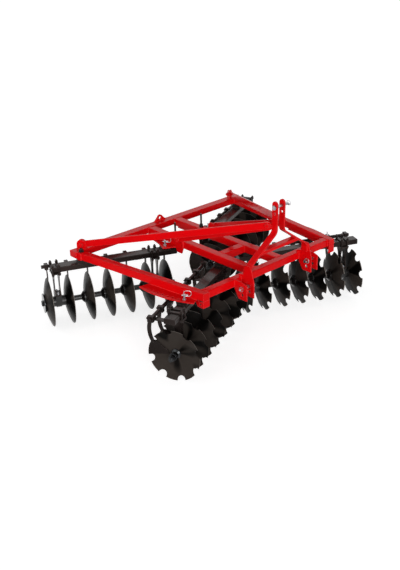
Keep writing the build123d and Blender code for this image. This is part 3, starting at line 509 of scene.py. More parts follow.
# ---------------------------------------------------------------- finishes
class Recipe:
    """A tree of shader nodes, with short calls for the few kinds that the finishes use."""

    def __init__(self, owner: bpy.types.Material | bpy.types.World) -> None:
        """Takes the owner's node tree and empties it.

        Args:
            owner: the material or surround that the nodes are for.
        """
        self.owner = owner
        owner.use_nodes = True
        self.tree = owner.node_tree
        self.tree.nodes.clear()

    @cached_property
    def place(self) -> Socket:
        """The object's own coordinates."""
        return self.node("ShaderNodeTexCoord").outputs["Object"]

    def node(self, kind: str, inputs: dict | None = None, **settings: object) -> bpy.types.Node:
        """A new node.

        Args:
            kind: the node's type.
            inputs: for each input's name or number, a value or another node's output.
            settings: the node's own properties.

        Returns:
            The node, set and linked.
        """
        made = self.tree.nodes.new(kind)
        for name, value in settings.items():
            setattr(made, name, value)
        for key, value in (inputs or {}).items():
            if isinstance(value, Socket):
                self.tree.links.new(value, made.inputs[key])
            else:
                made.inputs[key].default_value = value
        return made

    def noise(self, cells: float, detail: float, place: Socket | None = None) -> Socket:
        """Smooth noise between 0 and 1, at a scale in cells a metre."""
        inputs = {"Vector": place or self.place, "Scale": cells, "Detail": detail}
        return self.node("ShaderNodeTexNoise", inputs).outputs["Fac"]

    def spread(self, value: Socket, low: float, high: float, first: float, last: float) -> Socket:
        """A value between low and high spread, without going past, to between first and last."""
        inputs = {"Value": value, "From Min": low, "From Max": high, "To Min": first, "To Max": last}
        return self.node("ShaderNodeMapRange", inputs).outputs["Result"]

    def tone(self, share: Socket, first: Colour | Socket, last: Colour) -> Socket:
        """The colour that share of the way from first to last."""
        return self.node("ShaderNodeMix", {0: share, 6: first, 7: last}, data_type="RGBA").outputs[2]

    def sum(self, first: Socket, last: Socket, weight: float) -> Socket:
        """First plus weight times last."""
        sockets = {0: last, 1: weight, 2: first}
        return self.node("ShaderNodeMath", sockets, operation="MULTIPLY_ADD").outputs[0]

    def larger(self, first: Socket, last: Socket) -> Socket:
        """The larger of two values."""
        return self.node("ShaderNodeMath", {0: first, 1: last}, operation="MAXIMUM").outputs[0]

    def vector(self, operation: str, *values: Socket | Triple) -> bpy.types.Node:
        """A sum, product, length or direction of vectors."""
        return self.node("ShaderNodeVectorMath", dict(enumerate(values)), operation=operation)

    def mapped(self, vector: Socket, kind: str, settings: dict) -> Socket:
        """A vector moved, turned or scaled by a Mapping node of that kind."""
        return self.node("ShaderNodeMapping", {"Vector": vector, **settings}, vector_type=kind).outputs[0]

    def broken(self, radius: float) -> Socket:
        """The surface's direction, with its sharp edges broken to that radius in metres."""
        return self.node("ShaderNodeBevel", {"Radius": radius}, samples=BEVEL_SAMPLES).outputs[0]

    def on_edge(self, rounded: Socket) -> Socket:
        """How far a point lies on a broken edge.

        Args:
            rounded: the surface's direction where its edges are broken.

        Returns:
            0 on a flat face, and 1 where that direction turns furthest from the face's own.
        """
        face = self.node("ShaderNodeNewGeometry").outputs["True Normal"]
        likeness = self.vector("DOT_PRODUCT", rounded, face).outputs["Value"]
        return self.spread(likeness, *EDGE_LIKENESS, 0.0, 1.0)

    def bump(self, height: Socket, depth: float, rounded: Socket | None = None) -> Socket:
        """A direction for the shader, tilted by a relief.

        Args:
            height: the relief, from 0 to 1.
            depth: its depth in metres.
            rounded: the surface's direction where its edges are broken.

        Returns:
            The tilted direction.
        """
        inputs = {"Height": height, "Distance": depth, "Strength": 1.0}
        if rounded:
            inputs["Normal"] = rounded
        return self.node("ShaderNodeBump", inputs).outputs[0]

    def surface(self, inputs: dict) -> bpy.types.Material:
        """Finishes the tree as a principled surface.

        Args:
            inputs: the shader's inputs.

        Returns:
            The finished material.
        """
        shader = self.node("ShaderNodeBsdfPrincipled", inputs)
        self.node("ShaderNodeOutputMaterial", {"Surface": shader.outputs[0]})
        return self.owner


@dataclass(frozen=True)
class Enamel:
    """Sprayed enamel: a slow drift in tone, an orange-peel skin, dull patches, and edges painted paler as a
    highlight.
    """

    name: str
    slot: Slot
    colour: Colour
    worn: Colour
    # colour of the painted highlight along broken edges
    wear_and_edge_highlight: Colour
    sheen: Colour
    gloss: tuple[float, float]
    peel: float
    ior: float
    edge: float
    drift_cells: float = 2.3
    dust_cells: float = 38.0
    skin_cells: tuple[float, float] = (420.0, 90.0)
    scuff_cells: float = 11.0

    def material(self) -> bpy.types.Material:
        """Mixes this enamel.

        Returns:
            Its node material.
        """
        recipe = Recipe(bpy.data.materials.new(self.name))
        drift = recipe.spread(recipe.noise(self.drift_cells, 4.0), 0.35, 0.68, 0.0, 0.6)
        dust = recipe.spread(recipe.noise(self.dust_cells, 6.0), 0.60, 0.78, 0.0, 0.5)
        paint = recipe.tone(recipe.sum(drift, dust, 0.7), self.colour, self.worn)
        fine, broad = (recipe.noise(cells, 2.0) for cells in self.skin_cells)
        skin = recipe.sum(fine, broad, 0.6)
        scuff = recipe.spread(recipe.noise(self.scuff_cells, 8.0), 0.42, 0.72, *self.gloss)
        rounded = recipe.broken(self.edge)
        # painted highlight: broken edges turn towards the paler edge colour
        paint = recipe.tone(recipe.on_edge(rounded), paint, self.wear_and_edge_highlight)
        return recipe.surface({"Base Color": paint, "Roughness": scuff, "Specular Tint": self.sheen,
                               "IOR": self.ior, "Normal": recipe.bump(skin, self.peel, rounded)})


@dataclass(frozen=True)
class CastIron:
    """Painted sand casting: a pebbled skin under black paint, with rubbed high spots."""

    name: str
    slot: Slot
    colour: Colour
    wear_and_edge_highlight: Colour
    ior: float = 1.45
    relief: float = 0.00025
    pebble_cells: float = 260.0
    lump_cells: float = 45.0
    cloud_cells: float = 20.0

    def material(self) -> bpy.types.Material:
        """Mixes this casting's coat.

        Returns:
            Its node material.
        """
        recipe = Recipe(bpy.data.materials.new(self.name))
        pebbles = recipe.noise(self.pebble_cells, 5.0)
        lumps = recipe.sum(pebbles, recipe.noise(self.lump_cells, 3.0), 1.2)
        paint = recipe.tone(recipe.spread(pebbles, 0.52, 0.80, 0.0, 0.8), self.colour, self.wear_and_edge_highlight)
        rough = recipe.spread(recipe.noise(self.cloud_cells, 4.0), 0.35, 0.7, 0.18, 0.36)
        return recipe.surface({"Base Color": paint, "Roughness": rough, "IOR": self.ior,
                               "Normal": recipe.bump(lumps, self.relief)})


@dataclass(frozen=True)
class Zinc:
    """Zinc plate: bright metal with a faint crystal pattern and fine drawn marks."""

    name: str
    slot: Slot
    colour: Colour
    dull: Colour
    relief: float = 0.00006
    crystal_cells: float = 210.0
    mark_cells: Triple = (40.0, 900.0, 900.0)
    cloud_cells: float = 60.0

    def material(self) -> bpy.types.Material:
        """Mixes this plating.

        Returns:
            Its node material.
        """
        recipe = Recipe(bpy.data.materials.new(self.name))
        crystals = recipe.node("ShaderNodeTexVoronoi", {"Vector": recipe.place, "Scale": self.crystal_cells})
        inside = recipe.spread(crystals.outputs["Distance"], 0.0, 0.7, 0.0, 1.0)
        metal = recipe.tone(inside, self.colour, self.dull)
        marks = recipe.noise(1.0, 3.0, recipe.mapped(recipe.place, "POINT", {"Scale": self.mark_cells}))
        rough = recipe.spread(recipe.noise(self.cloud_cells, 4.0), 0.3, 0.7, 0.24, 0.42)
        return recipe.surface({"Base Color": metal, "Metallic": 1.0, "Roughness": rough,
                               "Normal": recipe.bump(marks, self.relief)})


@dataclass(frozen=True)
class RolledDisc:
    """Dished steel under thin black paint: wedges of painted reflection, rings, streaks, and a rim painted
    paler both as ground steel and as a highlight.
    """

    name: str
    slot: Slot
    colour: Colour
    # bright end of the painted reflection fans and of the random tone
    warm_tone_and_reflection: Colour
    # ground bare steel round the edge, painted paler also as a highlight
    ground_rim_and_highlight: Colour
    sheen: Colour
    ground_rim_and_highlight_span: tuple[float, float]
    ior: float = 1.13
    grain: float = 0.80
    relief: float = 0.00008
    ring_cells: float = 420.0
    streak_cells: float = 34.0
    # scale and shift of the painted reflection fans
    reflection_fan_cells: float = 1.15
    reflection_fan_shift: Triple = (7.0, 0.0, 0.0)
    cloud_cells: tuple[float, float] = (9.0, 15.0)
    pit_cells: float = 300.0

    def material(self, origin: Triple, angle: float) -> bpy.types.Material:
        """Mixes the coat of one gang's discs.

        In the axle's own axes, rings follow the distance from the axle and streaks the direction from it.
        Painted reflection follows that direction too: bright and dark wedges, shifted along the axle so that
        each disc has its own. The gloss is drawn out across the direction, as a pressed and wiped disc's is.

        Args:
            origin: a point on the gang's axle.
            angle: the axle's angle from X in the level plane.

        Returns:
            The node material.
        """
        recipe = Recipe(bpy.data.materials.new(self.name))
        turn = (0.0, 0.0, angle)
        own = recipe.mapped(recipe.place, "TEXTURE", {"Location": origin, "Rotation": turn})
        across = recipe.vector("MULTIPLY", own, (0.0, 1.0, 1.0)).outputs[0]
        radius = recipe.vector("LENGTH", across).outputs["Value"]
        way = recipe.vector("NORMALIZE", across).outputs[0]

        rings = recipe.node("ShaderNodeTexNoise", {"W": radius, "Scale": self.ring_cells, "Detail": 4.0},
                            noise_dimensions="1D").outputs["Fac"]
        along = recipe.vector("MULTIPLY", own, self.reflection_fan_shift).outputs[0]
        shifted = recipe.vector("ADD", along, way).outputs[0]
        # painted reflection: bright and dark fans round each axle
        reflection_fans = recipe.spread(recipe.noise(self.reflection_fan_cells, 1.0, shifted), 0.44, 0.54, 0.0, 1.0)
        fans_and_clouds = recipe.sum(reflection_fans, recipe.noise(self.cloud_cells[0], 5.0), 0.25)
        share = recipe.sum(fans_and_clouds, recipe.noise(self.streak_cells, 3.0, way), 0.20)
        body = recipe.tone(recipe.spread(share, 0.22, 1.10, 0.0, 1.0), self.colour, self.warm_tone_and_reflection)
        # the rim band is painted paler: ground bare steel, and a painted highlight
        paint = recipe.tone(recipe.spread(radius, *self.ground_rim_and_highlight_span, 0.0, 1.0), body, self.ground_rim_and_highlight)

        dull = recipe.spread(recipe.noise(self.cloud_cells[1], 6.0), 0.35, 0.7, 0.22, 0.40)
        pits = recipe.sum(rings, recipe.noise(self.pit_cells, 2.0), 0.5)
        turned_way = recipe.mapped(way, "VECTOR", {"Rotation": turn})
        grain = recipe.node("ShaderNodeVectorTransform", {"Vector": turned_way}, vector_type="VECTOR",
                            convert_from="OBJECT", convert_to="WORLD").outputs[0]
        return recipe.surface({"Base Color": paint, "Roughness": recipe.sum(dull, rings, 0.12),
                               "Specular Tint": self.sheen, "IOR": self.ior, "Anisotropic": self.grain,
                               "Tangent": grain, "Normal": recipe.bump(pits, self.relief)})


# Each enamel's edge colour is a painted highlight along broken edges.
RED_ENAMEL = Enamel("red_enamel", Slot.RED_PAINT,
                    colour=(0.72, 0.0018, 0.0035, 1.0), worn=(0.60, 0.004, 0.006, 1.0),
                    wear_and_edge_highlight=(0.85, 0.056, 0.058, 1.0), sheen=(1.0, 0.05, 0.05, 1.0),
                    gloss=(0.16, 0.28), peel=0.00004, ior=1.17, edge=0.006)
BLACK_ENAMEL = Enamel("black_enamel", Slot.BLACK_PAINT,
                      colour=(0.0075, 0.0055, 0.0050, 1.0), worn=(0.046, 0.032, 0.029, 1.0),
                      wear_and_edge_highlight=(0.068, 0.055, 0.051, 1.0), sheen=(1.0, 0.82, 0.76, 1.0),
                      gloss=(0.18, 0.32), peel=0.00005, ior=1.23, edge=0.003)
AXLE_ENAMEL = Enamel("axle_enamel", Slot.BLACK_PAINT,
                     colour=(0.0040, 0.0040, 0.0043, 1.0), worn=(0.012, 0.012, 0.013, 1.0),
                     wear_and_edge_highlight=(0.060, 0.060, 0.064, 1.0), sheen=(0.92, 0.96, 1.0, 1.0),
                     gloss=(0.08, 0.20), peel=0.00005, ior=1.42, edge=0.003)
BLACK_CASTING = CastIron("black_casting", Slot.CAST_BLACK,
                         colour=(0.0045, 0.0038, 0.0036, 1.0), wear_and_edge_highlight=(0.022, 0.018, 0.017, 1.0))
ZINC_PLATE = Zinc("zinc_plate", Slot.ZINC, colour=(0.56, 0.56, 0.58, 1.0), dull=(0.36, 0.36, 0.38, 1.0))
# The disc's warm colour is the bright end of painted reflection fans and of random tone.
DISC_PAINT = RolledDisc("disc_paint", Slot.DISC_STEEL,
                        colour=(0.0012, 0.0010, 0.0009, 1.0), warm_tone_and_reflection=(0.0330, 0.0268, 0.0230, 1.0),
                        # The disc's rim colour is ground steel and a painted highlight.
                        ground_rim_and_highlight=(0.17, 0.150, 0.135, 1.0), sheen=(1.0, 0.88, 0.80, 1.0),
                        ground_rim_and_highlight_span=(0.2262, 0.2280))


@dataclass
class Paintshop:
    """Makes each plain finish once and puts finishes on pieces and frame nodes."""

    made: dict[Slot, bpy.types.Material] = field(default_factory=dict)
    axle_coat: bpy.types.Material | None = None

    def open(self) -> None:
        """Mixes the finishes that are the same on every gang."""
        for finish in (RED_ENAMEL, BLACK_ENAMEL, BLACK_CASTING, ZINC_PLATE):
            self.made[finish.slot] = finish.material()
        self.axle_coat = AXLE_ENAMEL.material()

    def slot_of(self, node: str) -> Slot:
        """The record slot of a frame node, from its name.

        Args:
            node: the node's name.

        Returns:
            Its slot.
        """
        if node in ("hitch_pins", "top_link_pin", "locking_pins"):
            return Slot.ZINC
        if node.endswith("_discs"):
            return Slot.DISC_STEEL
        if node.endswith(("_spools", "_bearings")):
            return Slot.CAST_BLACK
        on_gang = node.startswith(tuple(wing.value for wing in Wing))
        return Slot.BLACK_PAINT if on_gang or node in ("pivot_pins", "hold_down_bolts") else Slot.RED_PAINT

    def coat_node(self, node: str, material: bpy.types.Material) -> None:
        """Gives a frame node one material all over.

        Args:
            node: the node's name.
            material: its finish.
        """
        mesh = frame["nodes"][node].data
        mesh.materials.clear()
        mesh.materials.append(material)

    def coat_frame(self) -> None:
        """Coats every frame node but the discs, whose finish is centred on each axle."""
        for node in frame["nodes"]:
            slot = self.slot_of(node)
            if slot is not Slot.DISC_STEEL:
                self.coat_node(node, self.axle_coat if node.endswith("_axle") else self.made[slot])

    def piece(self, name: str, shell: Shell, slot: Slot, body: str, crease: float = CREASE,
              coat: bpy.types.Material | None = None) -> None:
        """Makes a piece on a body, with its mesh in place and its object at the origin.

        Args:
            name: the piece's name.
            shell: its skin, in place.
            slot: the record slot that its finish belongs to.
            body: the frame body that it rides on.
            crease: degrees past which an edge stays sharp.
            coat: its finish, where that isn't the slot's own.
        """
        mesh = bpy.data.meshes.new(name)
        mesh.vertices.add(len(shell.points))
        mesh.vertices.foreach_set("co", shell.points.astype(np.float32).ravel())
        mesh.loops.add(shell.faces.size)
        mesh.loops.foreach_set("vertex_index", shell.faces.astype(np.int32).ravel())
        mesh.polygons.add(len(shell.faces))
        mesh.polygons.foreach_set("loop_start", np.arange(0, shell.faces.size, 4, dtype=np.int32))
        mesh.update(calc_edges=True)
        work = bmesh.new()
        work.from_mesh(mesh)
        bmesh.ops.remove_doubles(work, verts=work.verts, dist=MERGE_DISTANCE)
        bmesh.ops.recalc_face_normals(work, faces=work.faces)
        work.to_mesh(mesh)
        work.free()
        mesh.polygons.foreach_set("use_smooth", np.ones(len(mesh.polygons), bool))
        mesh.set_sharp_from_angle(angle=math.radians(crease))
        mesh.materials.append(coat or self.made[slot])
        made = bpy.data.objects.new(name, mesh)
        bpy.context.scene.collection.objects.link(made)
        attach(made, body)
        log.info("%s: %d faces on %s", name, len(mesh.polygons), body)


# ---------------------------------------------------------------- the gangs
@dataclass
class Gang:
    """One gang's small ironwork: clamp nuts, bearing and scraper bolts, axle ends and weld seams.

    Places are measured in a right-hand gang's own axes: X outward along the gang from its pivot, Y forward
    and Z up from the ground. A left-hand gang is the mirror image.
    """

    wing: Wing
    shop: Paintshop
    outer_hub: float
    hollow: float
    bar_setback: float
    lock_reach: float
    outer_stay: float
    disc_count: int = 7
    disc_radius: float = 0.230
    disc_thick: float = 0.005
    disc_spacing: float = 0.1885
    axle_lead: float = 0.018
    tube_top: float = 0.578
    tube_floor: float = 0.528
    tube_half: float = 0.050
    saddle_floor: float = 0.516
    saddle_half: float = 0.064
    bearing_shift: float = 0.028
    bearing_half: float = 0.050
    barrel: float = 0.056
    base_top: float = 0.312
    base_bolt_side: float = 0.040
    screw_circle: float = 0.0415
    screw_angles: tuple[float, ...] = (215.0, 325.0, 255.0, 285.0)
    nipple_rise: float = 0.022
    cheek_face: float = 0.028
    strap_offset: float = 0.029
    leg_offset: float = 0.058
    strap_top: float = 0.588
    pivot_room: float = 0.09
    bar_z: float = 0.542
    block_half: float = 0.026
    arm_start: float = 0.0557
    arm_thick: float = 0.010
    arm_foot: tuple[float, float] = (-0.158, 0.338)
    blade_bolt_gap: float = 0.026
    spacer: float = 0.068
    nut_height: float = 0.030
    stub: float = 0.026
    stub_radius: float = 0.0182
    stub_pitch: float = 0.003
    stub_sunk: float = 0.001
    head_apothem: float = 0.021
    plate_width: float = 0.014
    pad_half: tuple[float, float] = (0.045, 0.042)
    stay_seam_half: float = 0.020
    stay_face: float = 0.023
    stay_weld_half: float = 0.013
    seam_inset: float = 0.004

    @classmethod
    def front(cls, wing: Wing, shop: Paintshop) -> "Gang":
        """A front gang: hollow sides outward, scrapers set well back."""
        return cls(wing, shop, outer_hub=1.052, hollow=1.0, bar_setback=0.172, lock_reach=0.823,
                   outer_stay=0.012)

    @classmethod
    def rear(cls, wing: Wing, shop: Paintshop) -> "Gang":
        """A rear gang: hollow sides inward, scrapers closer behind the tube."""
        return cls(wing, shop, outer_hub=0.379, hollow=-1.0, bar_setback=0.098, lock_reach=-0.803,
                   outer_stay=-0.192)

    def __post_init__(self) -> None:
        """Reads the gang's pivot and angle from its joints, and works out its rows of places."""
        joints = {j["name"]: j for j in frame["joints"]}
        spin = joints[self.wing.value + "_spin"]
        self.pivot = np.array(joints[self.wing.value + "_angle"]["pos_m"])
        self.axle_at = tuple(spin["pos_m"])
        self.axle_angle = math.atan2(spin["axis"][1], spin["axis"][0])
        self.hubs = self.outer_hub - self.disc_spacing * np.arange(self.disc_count)
        self.gaps = (self.hubs[1:] + self.hubs[:-1]) / 2.0
        self.hangers = self.gaps[[0, -1]] + self.hollow * self.bearing_shift
        self.backs = self.hubs - self.hollow * self.disc_thick / 2.0
        self.hub_centre = np.array((0.0, self.axle_lead, self.disc_radius))

    def placed(self, shell: Shell) -> Shell:
        """Carries a skin from the gang's own axes to its place.

        Args:
            shell: the skin, in a right-hand gang's own axes.

        Returns:
            The skin in the machine's axes, mirrored for a left-hand gang.
        """
        angle = -self.axle_angle if self.wing.is_left else self.axle_angle
        cos, sin = math.cos(angle), math.sin(angle)
        turn = np.array(((cos, -sin, 0.0), (sin, cos, 0.0), (0.0, 0.0, 1.0)))
        there = shell.placed(turn, (abs(self.pivot[0]), self.pivot[1], 0.0))
        return there.mirrored() if self.wing.is_left else there

    def clamp_fixings(self) -> Shell:
        """Nuts with thread ends over the clamp straps, and the bolt heads under the saddles.

        Returns:
            All of them as one skin. A hanger near the pivot has no clamp.
        """
        held = self.hangers[np.abs(self.hangers) > self.pivot_room]
        xs = (held[:, None] + np.array((-1.0, 1.0)) * self.strap_offset).ravel()
        legs = (-self.leg_offset, self.leg_offset)
        over = CLAMP_NUT.standing(lattice(xs, legs, (self.strap_top,)), UP)
        under = CLAMP_HEAD.standing(lattice(xs, legs, (self.saddle_floor,)), DOWN)
        return joined([over, under])

    def bearing_fixings(self) -> Shell:
        """Base bolts between the cheeks, and the cap screws round both end bands of each bearing.

        Returns:
            All of them as one skin.
        """
        ys = (self.axle_lead - self.base_bolt_side, self.axle_lead + self.base_bolt_side)
        parts = [BEARING_NUT.standing(lattice(self.hangers, ys, (self.base_top,)), UP)]
        angle = np.radians(np.array(self.screw_angles))
        ring = np.stack((np.zeros(len(angle)), np.cos(angle), np.sin(angle)), -1) * self.screw_circle
        for way in (-1.0, 1.0):
            faces = self.hangers + way * self.bearing_half
            at = faces[:, None, None] * np.array(RIGHT) + ring[None] + self.hub_centre
            parts.append(BEARING_SCREW.standing(at.reshape(-1, 3), (way, 0.0, 0.0)))
        return joined(parts)

    def grease_nipples(self) -> Shell:
        """A grease nipple on the rear of each bearing foot: a small hexagon, a neck and a ball.

        Returns:
            Both as one skin.
        """
        at = lattice(self.hangers, (self.axle_lead - self.barrel,), (self.disc_radius + self.nipple_rise,))
        return turned(NIPPLE_PROFILE, 12).copies(aimed(np.broadcast_to(BACK, at.shape)), at)

    def scraper_fixings(self) -> Shell:
        """A bolt behind each scraper's clamp block, and two on each blade's arm.

        Returns:
            All of them as one skin.
        """
        middle = self.backs + self.hollow * (self.arm_start + self.arm_thick / 2.0)
        blocks = lattice(middle, (-self.bar_setback - self.block_half,), (self.bar_z,))
        face = self.backs + self.hollow * (self.arm_start + self.arm_thick)
        side, low = self.arm_foot
        blades = lattice(face, (side,), (low, low + self.blade_bolt_gap))
        return joined([BLOCK_NUT.standing(blocks, BACK), BLADE_NUT.standing(blades, (self.hollow, 0.0, 0.0))])

    def axle_ends(self) -> Shell:
        """The threaded end of the gang bolt past its nut, and the square head behind the back plate.

        Returns:
            Both as one skin.
        """
        along = self.hollow * np.array(RIGHT)
        nut = max(self.hollow * self.hubs) + self.disc_thick / 2.0 + self.spacer + self.nut_height
        back = min(self.hollow * self.hubs) - self.disc_thick / 2.0 - self.plate_width
        thread = threaded(self.stub_radius, self.stub + self.stub_sunk, self.stub_pitch, 24)
        head = turned(BOLT_HEAD_PROFILE, 24, 4, self.head_apothem)
        return joined([thread.placed(upright_turn(along), self.hub_centre + nut * along),
                       head.placed(upright_turn(-along), self.hub_centre + back * along)])

    def seams(self) -> Shell:
        """Beads along the cheeks under each saddle, round the wear pads, and where the stays meet the tube.

        Returns:
            All of them as one skin.
        """
        lines = []
        for x in self.hangers:
            for face in (x - self.cheek_face, x + self.cheek_face):
                lines.append([(face, y, self.saddle_floor) for y in (-self.saddle_half, self.saddle_half)])
        long, wide = self.pad_half
        for x in (0.0, self.lock_reach):
            lines.append([(x + a * long, b * wide, self.tube_top)
                          for a, b in ((-1, -1), (1, -1), (1, 1), (-1, 1), (-1, -1))])
        arm = self.hollow * self.arm_start
        edge, bar = self.seam_inset - self.tube_half, -self.bar_setback
        for x in (self.hubs[0] + self.outer_stay, self.gaps[2] + arm, self.gaps[4] + arm):
            lines.append([(x + a * self.stay_seam_half, edge, self.tube_floor) for a in (-1, 1)])
            for face in (x - self.stay_face, x + self.stay_face):
                lines.append([(face, bar + b * self.stay_weld_half, self.tube_floor) for b in (-1, 1)])
        return GANG_WELD.seams([np.array(line) for line in lines])

    def build(self) -> None:
        """Makes this gang's pieces and coats its discs."""
        name, piece = self.wing.value, self.shop.piece
        swing, spin = name + "_gang", name + "_rotor"
        black, zinc = Slot.BLACK_PAINT, Slot.ZINC
        piece(name + "_clamp_fixings", self.placed(self.clamp_fixings()), black, swing)
        piece(name + "_bearing_fixings", self.placed(self.bearing_fixings()), zinc, swing)
        piece(name + "_grease_nipples", self.placed(self.grease_nipples()), zinc, swing)
        piece(name + "_scraper_fixings", self.placed(self.scraper_fixings()), black, swing)
        piece(name + "_weld_seams", self.placed(self.seams()), black, swing, WELD_CREASE)
        piece(name + "_axle_ends", self.placed(self.axle_ends()), black, spin, coat=self.shop.axle_coat)
        self.shop.coat_node(name + "_discs", DISC_PAINT.material(self.axle_at, self.axle_angle))


# ---------------------------------------------------------------- the frame
@dataclass
class FrameIronwork:
    """Welds, brace bolts, pivot heads, linch pins and rod threads of the red frame.

    Places are those of the right-hand side, with Y measured forward from the front beam's front face.
    """

    shop: Paintshop
    top: float = 0.678
    floor: float = 0.608
    tube: float = 0.070
    corner: float = 0.007
    length: float = 1.535
    front_half: float = 0.843
    rear_half: float = 1.069
    rear_width: float = 0.096
    centre_x: float = 0.168
    centre_half: float = 0.041
    cross_y: tuple[float, float] = (-0.452, -0.532)
    hitch_faces: tuple[float, ...] = (0.365, 0.375, 0.450, 0.460)
    hitch_seam: tuple[float, float] = (-0.002, -0.033)
    corner_plate: float = 0.148
    plate_seam: tuple[float, float] = (-0.56, -0.05)
    mast_span: tuple[float, float] = (0.038, 0.098)
    mast_foot: tuple[float, float] = (0.784, 0.716)
    tie_low: tuple[float, float] = (0.2437, 0.862)
    tie_high: tuple[float, float] = (0.2036, 0.890)
    brace_side: float = 0.016
    brace_ear_half: float = 0.042
    flat_half: float = 0.006
    outer_brace_rear: Triple = (0.962, -1.487, 0.717)
    outer_brace_mast: Triple = (0.094, 0.026, 1.073)
    inner_brace_foot: Triple = (0.238, -0.977, 0.700)
    inner_brace_mast: Triple = (0.064, 0.022, 1.053)
    shank_ends: tuple[Triple, Triple] = ((0.051, 0.024, 1.063), (0.094, 0.026, 1.068))
    shank_radius: float = 0.012
    bracket_span: tuple[float, float] = (-1.029, -0.923)
    pivot_bolt: tuple[float, float] = (1.018, -1.424)
    rod_y: float = -1.084
    rod_radius: float = 0.009
    rod_rise: float = 0.138
    rod_nut: float = 0.018
    rod_pitch: float = 0.0025
    thread_proud: float = 0.0006
    lock_hole_rise: float = 0.041
    lock_lean: Triple = (-0.7, 0.7, 0.0)
    hitch_pin: tuple[float, float] = (0.088, 0.620)
    hitch_linch_x: float = 0.350
    boss_x: float = 0.4602
    step_x: float = 0.472
    top_linch: Triple = (-0.104, 0.068, 1.230)
    lug_y: float = -1.510
    lug_half: tuple[float, float] = (0.075, 0.008)
    seam_lift: float = 0.004
    seam_sunk: float = 0.001
    nose_inset: float = 0.006
    floor_gap: float = 0.0005
    plate_drop: float = 0.003
    bracket_bevel: float = 0.002

    def __post_init__(self) -> None:
        """Takes the front beam's front face as the datum of all distances along the machine."""
        self.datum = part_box("front_beam")[1].y
        self.slope = (self.rear_half - self.front_half) / self.length
        self.low = self.floor + self.seam_lift
        self.high = self.top - self.corner

    def at(self, points: Sequence[Triple]) -> Array:
        """Points measured from the front beam, in the machine's axes."""
        return np.asarray(points, float) + (0.0, self.datum, 0.0)

    def side_x(self, y: float) -> float:
        """X of the right side beam's outer face."""
        return self.front_half - y * self.slope

    def inner_x(self, y: float) -> float:
        """X of the right side beam's inner face."""
        return self.side_x(y) - self.tube * math.hypot(1.0, self.slope)

    def arch(self, start: tuple[float, float], end: tuple[float, float]) -> Array:
        """A seam up one side, over the top and down the other side of a beam's end, rounding its corners.

        Args:
            start: X and Y of the side where it starts.
            end: X and Y of the side where it ends.

        Returns:
            The seam's corners.
        """
        first, last = np.array(start), np.array(end)
        step = unit(last - first) * self.corner
        return self.at([(*first, self.low), (*first, self.high), (*(first + step), self.top),
                        (*(last - step), self.top), (*last, self.high), (*last, self.low)])

    def beam_seams(self) -> list[Array]:
        """Seams where the tubes meet one another.

        Returns:
            The corners of each seam.
        """
        rear = self.rear_width - self.length
        left, right = self.centre_x - self.centre_half, self.centre_x + self.centre_half
        under = self.floor - self.floor_gap
        nose = self.side_x(rear) - self.nose_inset
        return [self.arch((self.inner_x(-self.tube), -self.tube), (self.inner_x(0.0), 0.0)),
                self.arch((left, -self.tube), (right, -self.tube)),
                self.arch((left, rear), (right, rear)),
                self.arch((left, self.cross_y[0]), (left, self.cross_y[1])),
                self.arch((self.inner_x(rear), rear), (nose, rear)),
                self.at([(self.side_x(y) - self.seam_sunk, y, under) for y in self.plate_seam])]

    def plate_seams(self) -> list[Array]:
        """Seams of the hitch plates, the mast's feet, the corner plates and the brace brackets.

        Returns:
            The corners of each seam.
        """
        low, high, inner = self.low, self.high, self.hitch_faces[0]
        lines = [self.at([(x, 0.0, low), (x, 0.0, high)]) for x in self.hitch_faces]
        lines += [self.at([(x, y, self.top) for y in self.hitch_seam]) for x in self.hitch_faces[:2]]
        front = self.corner_plate - self.length
        outer = self.side_x(front)
        lines.append(self.at([(outer, front, low), (outer, front, self.top - self.plate_drop)]))
        side, cap, bevel = self.centre_x + self.centre_half, self.top - self.seam_sunk, self.bracket_bevel
        start, end = self.bracket_span
        lines.append(self.at([(side, start, low), (side, start, high), (side, start + bevel, cap),
                              (side, end - bevel, cap), (side, end, high), (side, end, low)]))
        (near, far), (foot_top, foot) = self.mast_span, self.mast_foot
        lines.append(self.at([(inner, near, foot_top), (inner, near, foot), (inner, far, foot),
                              (inner, far, foot_top)]))
        return lines

    def ear_seams(self) -> list[Array]:
        """Seams at the foot of the two ears that hold each outer brace on the rear beam.

        Returns:
            The corners of each seam.
        """
        run, side = self.brace_axes()
        middle = np.array((*self.outer_brace_rear[:2], self.top))
        ends = run * np.array((-1.0, 1.0))[:, None] * self.brace_ear_half
        return [self.at(middle + way * side * self.brace_side + ends) for way in (-1.0, 1.0)]

    def mitre_seams(self) -> list[Array]:
        """Seams round the mitred ends of the tie between the mast uprights.

        Returns:
            The corners of each seam.
        """
        (low_x, low), (high_x, high) = self.tie_low, self.tie_high
        lines = [self.at([(low_x, y, low), (high_x, y, high)]) for y in self.mast_span]
        return lines + [self.at([(high_x, y, high) for y in self.mast_span])]

    def lug_seams(self) -> list[Array]:
        """Seams along both feet of the rear lug.

        Returns:
            The corners of each seam.
        """
        long, wide = self.lug_half
        feet = (self.lug_y - wide, self.lug_y + wide)
        return [self.at([(-long, y, self.top), (long, y, self.top)]) for y in feet]

    def brace_axes(self) -> tuple[Array, Array]:
        """The outer brace's directions.

        Returns:
            Its level direction, and the level direction square to it, inward.
        """
        run = np.array(self.outer_brace_mast) - np.array(self.outer_brace_rear)
        run = unit((run[0], run[1], 0.0))
        return run, np.cross(UP, run)

    def welds(self) -> Shell:
        """Every seam of the frame.

        Returns:
            All of them as one skin.
        """
        right = self.beam_seams() + self.plate_seams() + self.ear_seams() + self.mitre_seams()
        return joined([both_sides(BEAM_WELD.seams(right)), LUG_WELD.seams(self.lug_seams())])

